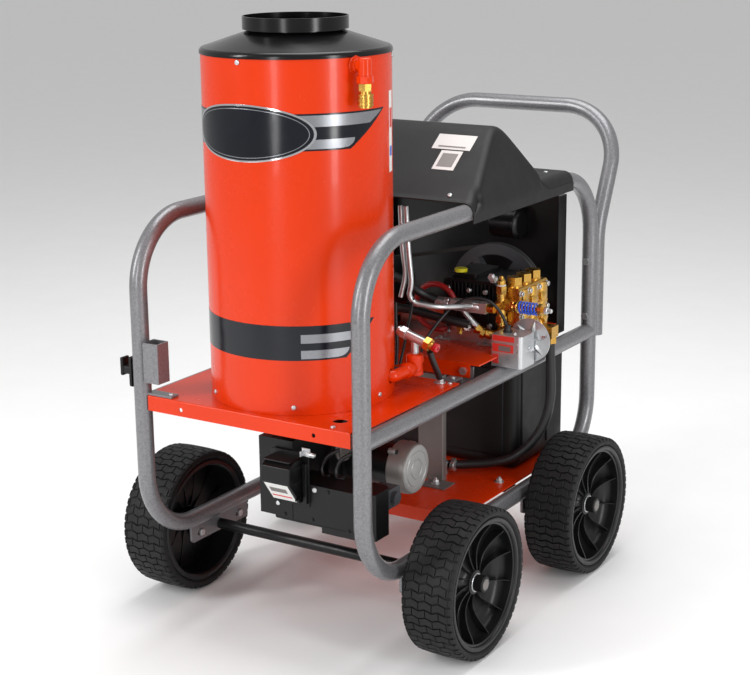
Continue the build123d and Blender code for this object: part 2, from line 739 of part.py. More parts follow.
def steel_fittings():
    block = box(152, 232, 590, 612, 652, 676)
    block += rod_x(600, 664, 9, 126, 153) + hex_x(600, 664, 22, 130, 142)
    ferrule = rod_x(600, 664, 12.5, 101, 126)
    stub = relief_plane(0).location * Pos(0, 0, 35) * Cylinder(10.5, 70)
    stub += hex_prism(relief_plane(8), 24, 14) + rod_z(195, 343, 8, 614.3, 646)
    barb = rod_z(88, 650, 12, LOWER_DECK_Z + SHEET + GAP, 262) + rod_x(655, 252, 9, 84, 101)
    tubes = [
        ([(92, 478, 905), (99, 474, 815), (111, 470, 735), (103, 470, 706), (112, 478, 688),
          (158, 500, 679), (190, 560, 672), (196, 589, 668)], 6),
        ([(78, 478, 905), (84, 474, 815), (94, 474, 750), (82, 470, 700)], 5.5),
    ]
    solids = [block + ferrule, stub, barb]
    solids += [hose(points, radius) for points, radius in tubes]
    return group(solids)


def inlet_block():
    block = box(292, 326, 738, 772, 573, 600) + hex_z(310, 764, 26, 556.5, 574)
    return block + rod_x(755, 586, 10, 288.3, 294)


def hood_outer(inset, bottom):
    y0, y1 = HOOD_YS
    slope0, slope1 = HOOD_SLOPE_YS
    ridge0, ridge1 = HOOD_RIDGE_YS
    half = HOOD_HALF_X - inset
    ridge_half = HOOD_RIDGE_HALF_X - inset
    top = HOOD_BASE_Z - inset
    ridge_z = HOOD_TOP_Z - inset
    side = [
        (y0 + inset, bottom), (y0 + inset, top - 10), (slope0 + inset, top),
        (ridge0 + inset / 2, ridge_z), (ridge1 - inset / 2, ridge_z),
        (slope1 - inset, top), (y1 - inset, top), (y1 - inset, bottom),
    ]
    end = [
        (-half, bottom), (-half, top - 4), (-ridge_half, ridge_z),
        (ridge_half, ridge_z), (half, top - 4), (half, bottom),
    ]
    along = extrude(Plane.YZ * make_face(Polyline(*side, close=True)), 400, both=True)
    across = extrude(Plane.XZ * make_face(Polyline(*end, close=True)), 1000, both=True)
    solid = along & across
    tent = solid.edges().filter_by(lambda edge: edge.center().Z > top + 5)
    return fillet(tent, 12 - inset)


def hood_screws():
    slope_run = HOOD_RIDGE_YS[0] - HOOD_SLOPE_YS[0]
    slope_rise = HOOD_TOP_Z - HOOD_BASE_Z
    y = HOOD_SLOPE_YS[0] + 10
    z = HOOD_BASE_Z + 10 * slope_rise / slope_run
    planes = []
    for side in (-1, 1):
        rear_x, rear_y = HOOD_REAR_SCREW
        planes.append(Plane(origin=(side * rear_x, rear_y, HOOD_BASE_Z + 0.1)))
        front = Plane(origin=(side * HOOD_FRONT_SCREW_X, y, z), z_dir=(0, -slope_rise, slope_run))
        planes.append(front.offset(0.1))
    return planes


def hood():
    shell = hood_outer(0, HOOD_SKIRT_Z) - hood_outer(SHEET, HOOD_SKIRT_Z - 20)
    for side in (-1, 1):
        for y in HOOD_YS:
            shell -= rod_y(side * FRAME_X, TOP_RAIL_Z, TUBE_R + 1.5, y - 14, y + 14)
    for plane in hood_screws():
        shell -= plane.location * Cylinder(3.4, 16)
    lip_z = HOOD_BASE_Z - 14
    shell -= box(-250, 250, HOOD_YS[0] - 5, HOOD_YS[0] + 8, HOOD_SKIRT_Z - 5, lip_z)
    for y in HOOD_YS:
        shell -= box(-297.4, 297.4, y - 8, y + 8, HOOD_SKIRT_Z - 5, TOP_RAIL_Z)
    return shell


def back_panel():
    panel = box(-245, 245, 970, 972, 530, 870)
    for side in (-1, 1):
        x0, x1 = sorted((side * 243, side * 245))
        panel += box(x0, x1, 930, 972, 530, 870)
    return panel + box(-245, 245, 940, 972, 868, 870)


def fuel_tank():
    y0, y1 = TANK_YS
    bottom = LOWER_DECK_Z + SHEET + GAP
    tank = round_box(-230, 230, y0, y1, bottom, TANK_TOP_Z, 22)
    tank -= round_box(-224, 224, y0 + 6, y1 - 6, bottom + 6, TANK_TOP_Z - 6, 16)
    tank += ring_z(*FUEL_CAP, 30, 24, TANK_TOP_Z - 7, TANK_TOP_Z + 12)
    return tank - rod_z(*FUEL_CAP, 24, TANK_TOP_Z - 20, TANK_TOP_Z + 20)


def fuel_cap():
    cap = rod_z(*FUEL_CAP, 37, TANK_TOP_Z + 2, TANK_TOP_Z + 20)
    cap = fillet(cap.edges().sort_by(Axis.Z)[-1], 3)
    cap -= rod_z(*FUEL_CAP, 30.1, TANK_TOP_Z, TANK_TOP_Z + 16)
    for step in range(12):
        angle = math.radians(30 * step)
        x = FUEL_CAP[0] + 37 * math.cos(angle)
        y = FUEL_CAP[1] + 37 * math.sin(angle)
        cap -= rod_z(x, y, 3, TANK_TOP_Z, TANK_TOP_Z + 16)
    return cap


def electrical_box():
    floor = LOWER_DECK_Z + SHEET + GAP
    case = round_box(50, 118, 596, 614, floor, 490, 3, Axis.Z)
    foot = box(84, 150, 545, 598, floor, floor + 3) - rod_z(113, 572, 4, floor - 5, floor + 10)
    return case + foot


def cart():
    left_frame = side_frame()
    rail = mid_rail()
    return {
        "side_frame_left": left_frame + corner_tab(DECK_TOP_Z - SHEET - 5),
        "side_frame_right": mirrored(left_frame + corner_tab(DECK_TOP_Z + GAP)),
        "mid_rails": group([rail, mirrored(rail)]),
        "push_handle": push_handle(),
        "frame_bolts": frame_bolts(),
        "axle_brackets": axle_brackets(),
        "axles": group(axle(y) for y in AXLE_YS.values()),
        "axle_caps": group(axle_cap(side, y) for side in (-1, 1) for y in AXLE_YS.values()),
        "upper_deck": upper_deck(),
        "lower_deck": lower_deck(),
        "pump_base": pump_base(),
        "screws": screws(),
        "wand_socket": wand_socket(),
        "hose_hook": hose_hook(),
    }


def wheels():
    nodes = {}
    for end, y in AXLE_YS.items():
        for side in ("left", "right"):
            for kind, make in (("tyre", tyre), ("rim", rim)):
                solid = make(y)
                nodes[f"{kind}_{end}_{side}"] = solid if side == "left" else mirrored(solid)
    return nodes


def boiler_and_burner():
    return {
        "boiler_jacket": boiler_jacket(),
        "boiler_cone": boiler_cone(),
        "flue_collar": flue_collar(),
        "heating_coil": heating_coil(),
        "outlet_elbow": outlet_elbow(),
        "quick_coupler": quick_coupler(),
        "coupler_sleeve": coupler_sleeve(),
        "burner_housing": burner_housing(),
        "burner_control_box": burner_control_box(),
        "burner_motor": burner_motor(),
        "blower_wheel": blower_wheel(),
        "fuel_pump": fuel_pump(),
        "fuel_tank": fuel_tank(),
        "fuel_cap": fuel_cap(),
        "electrical_box": electrical_box(),
    }


def pump_drive():
    return {
        "pump_rails": pump_rails(),
        "pump_crankcase": pump_crankcase(),
        "pump_head": group([pump_head(), inlet_block()]),
        "valve_caps": valve_caps(),
        "oil_cap": oil_cap(),
        "pump_crankshaft": pump_crankshaft(),
        "pump_pulley": pump_pulley(),
        "motor_pulley": motor_pulley(),
        "drive_belt": drive_belt(),
        "drive_motor": drive_motor(),
        "motor_rotor": motor_rotor(),
    }


def plumbing_and_covers():
    return {
        "unloader_valve": unloader_valve(),
        "unloader_spring": unloader_spring(),
        "unloader_nut": unloader_nut(),
        "thermostat_box": thermostat_box(),
        "thermostat_dial": thermostat_dial(),
        "relief_valve": relief_valve(),
        "outlet_pipe": outlet_pipe(),
        "black_hoses": black_hoses(),
        "red_hose": red_hose(),
        "steel_fittings": steel_fittings(),
        "hood": hood(),
        "back_panel": back_panel(),
    }


os.makedirs("parts", exist_ok=True)
for make_nodes in (cart, wheels, boiler_and_burner, pump_drive, plumbing_and_covers):
    for node, solid in make_nodes().items():
        export_step(Pos(0, -ORIGIN_Y, 0) * solid, f"parts/{node}.step")
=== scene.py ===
import json
import math

import bmesh
import bpy
from mathutils import Matrix, Vector


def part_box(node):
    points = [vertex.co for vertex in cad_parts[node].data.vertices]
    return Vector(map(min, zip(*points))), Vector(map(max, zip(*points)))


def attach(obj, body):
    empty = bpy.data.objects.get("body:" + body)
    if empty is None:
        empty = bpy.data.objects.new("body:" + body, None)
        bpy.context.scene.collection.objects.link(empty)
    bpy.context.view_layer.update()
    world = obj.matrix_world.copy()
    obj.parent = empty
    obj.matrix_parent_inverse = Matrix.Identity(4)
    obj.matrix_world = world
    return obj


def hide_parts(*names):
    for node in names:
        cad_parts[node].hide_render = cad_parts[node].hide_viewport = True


# A hot-water pressure washer's looks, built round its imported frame. Metres, +Z up, the boiler
# towards -Y, the push handle towards +Y, and the pump's side towards +X. Small fittings are placed
# in the CAD's own layout millimetres, through at().

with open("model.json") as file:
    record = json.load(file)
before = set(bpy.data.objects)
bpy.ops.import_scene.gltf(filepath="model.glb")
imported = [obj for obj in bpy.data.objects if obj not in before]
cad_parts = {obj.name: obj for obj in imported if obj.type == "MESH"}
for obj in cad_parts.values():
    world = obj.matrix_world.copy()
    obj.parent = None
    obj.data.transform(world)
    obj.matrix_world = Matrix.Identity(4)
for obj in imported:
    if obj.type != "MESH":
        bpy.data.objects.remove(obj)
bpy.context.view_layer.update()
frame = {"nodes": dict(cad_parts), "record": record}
nodes = frame["nodes"]

CAMERA_PLACE = (1.9721, -3.2219, 1.5601)
CAMERA_AZIMUTH = math.radians(32.40)
CAMERA_ELEVATION = math.radians(14.76)
CAMERA_ROLL = math.radians(-0.60)
CAMERA_LENS = 79.87
SENSOR_WIDTH = 36.0

MM = 0.001
WORLD_STRENGTH = 0.55
LEFT = (1, 0, 0)
FORE, AFT = (0, -1, 0), (0, 1, 0)
UP, DOWN = (0, 0, 1), (0, 0, -1)
SMOOTH_ANGLE = math.radians(38)


def centre(node):
    low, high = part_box(node)
    return (low + high) / 2


# ---------------------------------------------------------------- materials

def shader(name, colour, metallic=0.0, roughness=0.5, coat=0.0, coat_roughness=0.1, specular=0.5):
    material = bpy.data.materials.new(name)
    material.use_nodes = True
    tree = material.node_tree
    surface = tree.nodes["Principled BSDF"]
    surface.inputs["Base Color"].default_value = (*colour, 1)
    surface.inputs["Metallic"].default_value = metallic
    surface.inputs["Roughness"].default_value = roughness
    surface.inputs["Coat Weight"].default_value = coat
    surface.inputs["Coat Roughness"].default_value = coat_roughness
    surface.inputs["Specular IOR Level"].default_value = specular
    return material, tree, surface


def object_coords(tree, scale=(1, 1, 1)):
    coords = tree.nodes.new("ShaderNodeTexCoord")
    mapping = tree.nodes.new("ShaderNodeMapping")
    mapping.inputs["Scale"].default_value = scale
    tree.links.new(coords.outputs["Object"], mapping.inputs["Vector"])
    return mapping.outputs["Vector"]


def noise(tree, vector, scale, detail=3.0, rough=0.5):
    node = tree.nodes.new("ShaderNodeTexNoise")
    node.inputs["Scale"].default_value = scale
    node.inputs["Detail"].default_value = detail
    node.inputs["Roughness"].default_value = rough
    tree.links.new(vector, node.inputs["Vector"])
    return node.outputs["Fac"]


def ramp(tree, factor, stops):
    node = tree.nodes.new("ShaderNodeValToRGB")
    elements = node.color_ramp.elements
    while len(elements) < len(stops):
        elements.new(0.5)
    for element, (place, colour) in zip(elements, stops):
        element.position = place
        element.color = (*colour, 1)
    tree.links.new(factor, node.inputs["Fac"])
    return node.outputs["Color"]


def spread(tree, factor, low, high):
    node = tree.nodes.new("ShaderNodeMapRange")
    node.inputs["From Min"].default_value = 0.3
    node.inputs["From Max"].default_value = 0.7
    node.inputs["To Min"].default_value = low
    node.inputs["To Max"].default_value = high
    tree.links.new(factor, node.inputs["Value"])
    return node.outputs["Result"]


def bump(tree, surface, heights):
    """heights is a list of (factor, strength, distance in metres), laid one on another."""
    normal = None
    for factor, strength, distance in heights:
        node = tree.nodes.new("ShaderNodeBump")
        node.inputs["Strength"].default_value = strength
        node.inputs["Distance"].default_value = distance
        tree.links.new(factor, node.inputs["Height"])
        if normal is not None:
            tree.links.new(normal, node.inputs["Normal"])
        normal = node.outputs["Normal"]
    tree.links.new(normal, surface.inputs["Normal"])


def tinted(colour, factor):
    return tuple(min(1.0, channel * factor) for channel in colour)


def surface_finish(name, colour, tint=0.12, patch=6.0, grain=900.0, grain_depth=0.00004,
                   grain_strength=0.3, rough=(0.35, 0.5), **values):
    """A paint, plastic or metal with patchy tint, uneven gloss and a fine grain."""
    material, tree, surface = shader(name, colour, roughness=sum(rough) / 2, **values)
    coords = object_coords(tree)
    patches = noise(tree, coords, patch, 5.0, 0.6)
    stops = [(0.3, tinted(colour, 1 - tint)), (0.7, tinted(colour, 1 + tint))]
    tree.links.new(ramp(tree, patches, stops), surface.inputs["Base Color"])
    smears = noise(tree, coords, patch * 3.7, 6.0, 0.65)
    tree.links.new(spread(tree, smears, *rough), surface.inputs["Roughness"])
    fine = noise(tree, coords, grain, 2.0, 0.5)
    bump(tree, surface, [(fine, grain_strength, grain_depth)])
    return material


def hammertone(name, colour):
    """Silver-grey hammered enamel: metallic flake with shallow round dimples."""
    material, tree, surface = shader(name, colour, metallic=0.55, roughness=0.38, coat=0.35)
    coords = object_coords(tree)
    cells = tree.nodes.new("ShaderNodeTexVoronoi")
    cells.feature = "SMOOTH_F1"
    cells.inputs["Scale"].default_value = 260
    tree.links.new(coords, cells.inputs["Vector"])
    flakes = noise(tree, coords, 1500, 2.0)
    patches = noise(tree, coords, 9, 4.0)
    colours = ramp(tree, cells.outputs["Distance"], [(0.1, tinted(colour, 1.18)), (0.8, tinted(colour, 0.8))])
    tree.links.new(colours, surface.inputs["Base Color"])
    tree.links.new(spread(tree, patches, 0.32, 0.46), surface.inputs["Roughness"])
    bump(tree, surface, [(cells.outputs["Distance"], 0.25, 0.0003), (flakes, 0.12, 0.00003)])
    return material


MATERIALS = {
    "frame_paint": hammertone("frame_paint", (0.2, 0.198, 0.208)),
    "orange_paint": surface_finish("orange_paint", (0.66, 0.034, 0.0004), tint=0.04, patch=2.5, grain=420,
                                   grain_depth=0.00004, grain_strength=0.1, rough=(0.22, 0.3), coat=0.1,
                                   coat_roughness=0.04, specular=0.25),
    "black_paint": surface_finish("black_paint", (0.004, 0.004, 0.0045), tint=0.25, grain=600,
                                  grain_strength=0.2, rough=(0.3, 0.42), specular=0.3),
    "black_plastic": surface_finish("black_plastic", (0.008, 0.0078, 0.008), tint=0.15, grain=1400,
                                    grain_depth=0.00012, grain_strength=0.8, rough=(0.42, 0.54),
                                    specular=0.3),
    "rim_plastic": surface_finish("rim_plastic", (0.006, 0.0062, 0.007), tint=0.2, grain=800,
                                  grain_strength=0.2, rough=(0.28, 0.4), specular=0.4),
    "tyre_rubber": surface_finish("tyre_rubber", (0.005, 0.005, 0.0055), tint=0.3, patch=14, grain=1100,
                                  grain_depth=0.0001, grain_strength=0.5, rough=(0.52, 0.7), specular=0.35),
    "zinc_steel": surface_finish("zinc_steel", (0.6, 0.61, 0.62), tint=0.06, patch=12, grain=500,
                                 grain_depth=0.00002, grain_strength=0.08, rough=(0.26, 0.38), metallic=0.85),
    "coil_steel": surface_finish("coil_steel", (0.2, 0.18, 0.16), tint=0.3, rough=(0.45, 0.7), metallic=0.9),
    "shaft_steel": surface_finish("shaft_steel", (0.5, 0.5, 0.5), rough=(0.25, 0.4), metallic=1.0),
    "cast_dark": surface_finish("cast_dark", (0.045, 0.047, 0.053), tint=0.25, grain=350,
                                grain_depth=0.0002, grain_strength=0.5, rough=(0.32, 0.46)),
    "motor_grey": surface_finish("motor_grey", (0.2, 0.185, 0.175), tint=0.1, grain=500,
                                 grain_depth=0.0001, grain_strength=0.3, rough=(0.34, 0.46), metallic=0.4),
    "fan_steel": surface_finish("fan_steel", (0.5, 0.5, 0.52), rough=(0.3, 0.45), metallic=1.0),
    "brass_parts": surface_finish("brass_parts", (0.62, 0.36, 0.08), tint=0.14, patch=40, grain=420,
                                  grain_depth=0.00012, grain_strength=0.35, rough=(0.2, 0.36), metallic=1.0),
    "spring_blue": surface_finish("spring_blue", (0.002, 0.06, 0.55), tint=0.12, rough=(0.25, 0.35),
                                  coat=0.3),
    "oil_cap_yellow": surface_finish("oil_cap_yellow", (0.75, 0.66, 0.005), tint=0.06, rough=(0.3, 0.4)),
    "belt_rubber": surface_finish("belt_rubber", (0.02, 0.018, 0.016), tint=0.3, rough=(0.55, 0.7)),
    "hose_rubber": surface_finish("hose_rubber", (0.009, 0.009, 0.01), tint=0.2, rough=(0.36, 0.48)),
    "hose_red": surface_finish("hose_red", (0.34, 0.012, 0.012), tint=0.15, rough=(0.34, 0.46)),
}

GLOSS_BLACK = surface_finish("gloss_black", (0.003, 0.003, 0.0035), tint=0.2, patch=4, rough=(0.16, 0.24),
                             specular=0.35)
SILVER_FILM = surface_finish("silver_film", (0.3, 0.31, 0.33), tint=0.06, patch=3, rough=(0.24, 0.34),
                             metallic=0.8)
CHROME = surface_finish("chrome", (0.7, 0.71, 0.73), tint=0.04, patch=8, rough=(0.08, 0.16), metallic=1.0)
NAVY_FILM = surface_finish("navy_film", (0.003, 0.004, 0.008), tint=0.3, patch=5, rough=(0.14, 0.22),
                           specular=0.4)
WHITE_LABEL = surface_finish("white_label", (0.72, 0.72, 0.7), tint=0.03, patch=20, rough=(0.4, 0.5))
RED_PRINT = surface_finish("red_print", (0.62, 0.03, 0.02), tint=0.06, patch=20, rough=(0.35, 0.45))
BLUE_PRINT = surface_finish("blue_print", (0.02, 0.12, 0.5), tint=0.06, patch=20, rough=(0.35, 0.45))
RED_CAP = surface_finish("red_cap", (0.55, 0.01, 0.015), tint=0.1, rough=(0.2, 0.3), coat=0.3)
BELL_FACE = surface_finish("bell_face", (0.36, 0.35, 0.34), tint=0.06, patch=20, grain=700,
                           rough=(0.36, 0.48), metallic=0.5)
GLOSSY_NODES = ("boiler_cone", "flue_collar")


def dress_frame():
    """Gives every CAD node the material of its record slot, and the flue its glossier black."""
    for entry in frame["record"]["subparts"]:
        node = nodes[entry["node"]]
        node.data.materials.clear()
        finish = GLOSS_BLACK if entry["node"] in GLOSSY_NODES else MATERIALS[entry["material_slot"]]
        node.data.materials.append(finish)


# ---------------------------------------------------------------- mesh tools

def piece(name, mesh, slot, body="chassis", material=None, bevel=0.0):
    """Turns a bmesh into a finished object that rides on one of the CAD bodies."""
    bmesh.ops.recalc_face_normals(mesh, faces=mesh.faces)
    data = bpy.data.meshes.new(name)
    mesh.to_mesh(data)
    mesh.free()
    item = bpy.data.objects.new(name, data)
    bpy.context.scene.collection.objects.link(item)
    data.materials.append(material or MATERIALS[slot])
    if bevel:
        modifier = item.modifiers.new("edge", "BEVEL")
        modifier.width = bevel
        modifier.segments = 2
        modifier.angle_limit = math.radians(35)
        modifier.harden_normals = True
    data.shade_smooth()
    data.set_sharp_from_angle(angle=SMOOTH_ANGLE)
    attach(item, body)
    return item


def spin(mesh, section, place, steps):
    """Revolves a closed section of (along, radius) points round the X axis through place."""
    rows = []
    for step in range(steps):
        angle = 2 * math.pi * step / steps
        rows.append([mesh.verts.new(Vector((along, radius * math.cos(angle), radius * math.sin(angle))) + place)
                     for along, radius in section])
    count = len(section)
    for here, there in zip(rows, rows[1:] + rows[:1]):
        for k in range(count):
            mesh.faces.new((here[k], here[(k + 1) % count], there[(k + 1) % count], there[k]))


# ---------------------------------------------------------------- wheels

TREAD_ROWS = 54
BLOCK_WIDTH = 0.0315
TREAD_HALF = 0.0535
ZIGZAG = 0.0052
GROOVE = 0.0036
CARCASS_R = 0.1607
CROWN_R = 0.165


def tread_radius(across):
    """The block tops' radius, falling away towards the shoulders."""
    share = abs(across) / TREAD_HALF
    return CROWN_R - 0.0014 * share ** 2 - 0.0016 * share ** 8


def zigzag(across):
    phase = (across / BLOCK_WIDTH) % 1.0
    return ZIGZAG * (1 - abs(2 * phase - 1) * 2) / 2


def tread_block(mesh, place, left, right, middle, half_height):
    """One chevron block between two across positions, standing on the carcass."""
    splits = sorted({left, right, *(
        k * BLOCK_WIDTH / 2 for k in range(-8, 9) if left + 0.001 < k * BLOCK_WIDTH / 2 < right - 0.001
    )})
    rings = []
    for inset, drop in ((0.0, None), (0.0, 0.0008), (0.0008, 0.0)):
        outline = []
        lean = half_height - inset
        for side, order in ((lean, splits), (-lean, splits[::-1])):
            for across in order:
                x = min(max(across, left + inset), right - inset)
                radius = CARCASS_R - 0.002 if drop is None else tread_radius(x) - drop
                angle = (middle + zigzag(across) + side) / CROWN_R
                point = Vector((x, radius * math.cos(angle), radius * math.sin(angle)))
                outline.append(mesh.verts.new(point + place))
        rings.append(outline)
    count = len(rings[0])
    for lower, upper in zip(rings, rings[1:]):
        for k in range(count):
            mesh.faces.new((lower[k], lower[(k + 1) % count], upper[(k + 1) % count], upper[k]))
    top = rings[-1]
    half = count // 2
    for k in range(half - 1):
        mesh.faces.new((top[k], top[k + 1], top[count - 2 - k], top[count - 1 - k]))


def tread(mesh, place):
    pitch = 2 * math.pi * CROWN_R / TREAD_ROWS
    half_height = (pitch - GROOVE) / 2
    for row in range(TREAD_ROWS):
        shift = (row % 2) * BLOCK_WIDTH / 2
        edges = [-TREAD_HALF]
        edge = -3 * BLOCK_WIDTH + shift
        while edge < TREAD_HALF - 0.006:
            if edge > -TREAD_HALF + 0.006:
                edges.append(edge)
            edge += BLOCK_WIDTH
        edges.append(TREAD_HALF)
        for left, right in zip(edges, edges[1:]):
            tread_block(mesh, place, left + 0.0008, right - 0.0008, row * pitch, half_height)


def carcass_profile():
    half = 0.0585
    shoulder = [(half - 0.0022, 0.1585), (half - 0.0006, 0.1555), (half, 0.152), (half - 0.0004, 0.1495)]
    bead = [(half - 0.0022, 0.1478), (half - 0.0016, 0.1465), (half - 0.0044, 0.1448),
            (half - 0.0066, 0.1415), (half - 0.0068, 0.1345)]
    right = [(0.03, CARCASS_R), (0.048, CARCASS_R - 0.0004)] + shoulder + bead
    left = [(-x, radius) for x, radius in right[::-1]]
    return left + right


LUG_SECTION = ((0.053, 0.1632), (0.057, 0.1606), (0.0583, 0.1562), (0.056, 0.154), (0.053, 0.157))
LUG_HALF = 0.0066


def shoulder_lugs(mesh, place):
    """Short ribs that carry each row of the tread over the edge of the sidewall."""
    pitch = 2 * math.pi * CROWN_R / TREAD_ROWS
    for row in range(TREAD_ROWS):
        for side in (-1, 1):
            middle = row * pitch + zigzag(side * TREAD_HALF)
            ring = []
            for across, radius in LUG_SECTION:
                pair = []
                for lean in (-LUG_HALF, LUG_HALF):
                    angle = (middle + lean) / CROWN_R
                    point = Vector((side * across, radius * math.cos(angle), radius * math.sin(angle)))
                    pair.append(mesh.verts.new(point + place))
                ring.append(pair)
            count = len(ring)
            for k in range(count):
                a, b = ring[k], ring[(k + 1) % count]
                mesh.faces.new((a[0], a[1], b[1], b[0]))
            for end in (0, 1):
                mesh.faces.new([pair[end] for pair in (ring if end else ring[::-1])])


def rim_profile(outward):
    """The rim's section in (along, radius), with the deep dish facing along outward."""
    half = 0.0565
    section = [
        (0.029, 0.0096), (0.029, 0.024), (0.0275, 0.0262), (0.02, 0.0275), (0.014, 0.033), (0.008, 0.048),
        (0.006, 0.07), (0.0085, 0.098), (0.015, 0.118), (0.024, 0.126), (0.034, 0.1278), (0.049, 0.1285),
        (0.0505, 0.1305), (0.0505, 0.1325), (0.054, 0.1332), (0.0556, 0.1345), (half, 0.137), (half, 0.1405),
        (half - 0.0008, 0.1425), (half - 0.0028, 0.143), (half - 0.004, 0.1415), (half - 0.0046, 0.134),
        (-half + 0.0046, 0.134), (-half + 0.004, 0.1415), (-half + 0.0028, 0.143), (-half, 0.1405),
        (-half, 0.133), (-half + 0.004, 0.129), (-0.02, 0.127), (0.006, 0.1235), (0.002, 0.1),
        (0.0, 0.07), (0.002, 0.048), (0.006, 0.03), (0.004, 0.0225), (-0.053, 0.0215), (-0.053, 0.0096),
    ]
    return [(outward * along, radius) for along, radius in section]


RIB_COUNT = 12
RIB_STEPS = 14
RIB_HALF = 0.0011
HUB_R = 0.0245
BARREL_R = 0.1283
RIB_ROOT = -0.001
RIB_EDGE = 0.0008


def rim_ribs(mesh, place, outward):
    """Thin curved ribs across the dish, from the hub out to the barrel."""
    for rib in range(RIB_COUNT):
        start = 2 * math.pi * rib / RIB_COUNT
        rows = []
        for step in range(RIB_STEPS + 1):
            share = step / RIB_STEPS
            radius = HUB_R + (BARREL_R - HUB_R) * share
            angle = start + 0.42 * share * (1.15 - 0.6 * share)
            crest = 0.0262 - 0.0105 * math.sin(math.pi * min(1.0, share * 1.05)) + 0.0195 * share ** 2.2
            tangent = Vector((0, -math.sin(angle), math.cos(angle)))
            middle = Vector((0, radius * math.cos(angle), radius * math.sin(angle)))
            row = []
            edge = crest - RIB_EDGE
            outline = ((RIB_ROOT, -1), (edge, -1), (crest, -0.4), (crest, 0.4), (edge, 1), (RIB_ROOT, 1))
            for height, lean in outline:
                point = middle + tangent * RIB_HALF * lean + Vector((outward * height, 0, 0))
                row.append(mesh.verts.new(point + place))
            rows.append(row)
        for a, b in zip(rows, rows[1:]):
            for k in range(6):
                mesh.faces.new((a[k], a[(k + 1) % 6], b[(k + 1) % 6], b[k]))
        mesh.faces.new(rows[0][::-1])
        mesh.faces.new(rows[-1])


def wheels():
    for end in ("front", "rear"):
        for side, outward in (("left", 1), ("right", -1)):
            body = f"wheel_{end}_{side}"
            place = centre(f"rim_{end}_{side}")
            mesh = bmesh.new()
            spin(mesh, carcass_profile(), place, 108)
            tread(mesh, place)
            shoulder_lugs(mesh, place)
            tyre = piece(f"tyre_tread_{end}_{side}", mesh, "tyre_rubber", body)
            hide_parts(f"tyre_{end}_{side}")
            mesh = bmesh.new()
            spin(mesh, rim_profile(outward), place, 96)
            rim_ribs(mesh, place, outward)
            rim = piece(f"rim_dish_{end}_{side}", mesh, "rim_plastic", body)
            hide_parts(f"rim_{end}_{side}")


# ---------------------------------------------------------------- shared shapes

JACKET = centre("boiler_jacket")
JACKET_R = (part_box("boiler_jacket")[1].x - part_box("boiler_jacket")[0].x) / 2
JACKET_ROW_Y = 201.0


def at(x, y, z):
    """A place given as the CAD's layout gives it, in millimetres from the front posts' centreline."""
    return Vector((JACKET.x + x * MM, JACKET.y + (y - JACKET_ROW_Y) * MM, z * MM))


def square_to(axis):
    axis = Vector(axis).normalized()
    side = axis.cross(Vector((0, 0, 1)))
    if side.length < 0.01:
        side = Vector((1, 0, 0))
    side.normalize()
    return side, axis.cross(side), axis


def turned(mesh, place, axis, profile, steps=28):
    """Revolves (along, radius) points in millimetres round any axis through place, closing both ends."""
    side, up, axis = square_to(axis)
    rows = []
    for step in range(steps):
        angle = 2 * math.pi * step / steps
        out = side * math.cos(angle) + up * math.sin(angle)
        rows.append([mesh.verts.new(Vector(place) + axis * along * MM + out * radius * MM)
                     for along, radius in profile])
    for here, there in zip(rows, rows[1:] + rows[:1]):
        for k in range(len(profile) - 1):
            mesh.faces.new((here[k], there[k], there[k + 1], here[k + 1]))
    for k in (0, -1):
        mesh.faces.new([row[k] for row in rows])


def hex_head(mesh, place, axis, flats, height):
    corner = flats / math.sqrt(3)
    turned(mesh, place, axis, [(0, corner), (height * 0.85, corner), (height, corner * 0.88)], steps=6)


def washer(mesh, place, axis, outer, height):
    turned(mesh, place, axis, [(0, outer), (height * 0.7, outer), (height, outer - height * 0.3)])


def socket_screw(mesh, place, axis, radius, height):
    well = radius * 0.5
    turned(mesh, place, axis, [(0, radius), (height - 0.6, radius), (height, radius - 0.6), (height, well),
                               (height * 0.4, well)], steps=18)


def slab(mesh, low, high):
    """A closed block between two corners given in layout millimetres."""
    corners = [mesh.verts.new(at(x, y, z)) for z in (low[2], high[2]) for y in (low[1], high[1])
               for x in (low[0], high[0])]
    for face in ((0, 1, 3, 2), (4, 6, 7, 5), (0, 4, 5, 1), (2, 3, 7, 6), (0, 2, 6, 4), (1, 5, 7, 3)):
        mesh.faces.new([corners[k] for k in face])


def plate(mesh, corners, thickness):
    """A thin sheet on four corners given in layout millimetres, standing out along its normal."""
    points = [at(*corner) for corner in corners]
    normal = (points[1] - points[0]).cross(points[3] - points[0]).normalized() * thickness * MM
    low = [mesh.verts.new(point) for point in points]
    high = [mesh.verts.new(point + normal) for point in points]
    mesh.faces.new(low[::-1])
    mesh.faces.new(high)
    for k in range(4):
        mesh.faces.new((low[k], low[(k + 1) % 4], high[(k + 1) % 4], high[k]))


def smooth_route(points, steps):
    """Catmull-Rom points through a route given in layout millimetres."""
    places = [at(*point) for point in points]
    ends = [places[0] * 2 - places[1]] + places + [places[-1] * 2 - places[-2]]
    route = []
    for a, b, c, d in zip(ends, ends[1:], ends[2:], ends[3:]):
        for step in range(steps):
            t = step / steps
            route.append(0.5 * (b * 2 + (c - a) * t + (a * 2 - b * 5 + c * 4 - d) * t * t
                                + (b * 3 - a - c * 3 + d) * t ** 3))
    return route + [places[-1]]


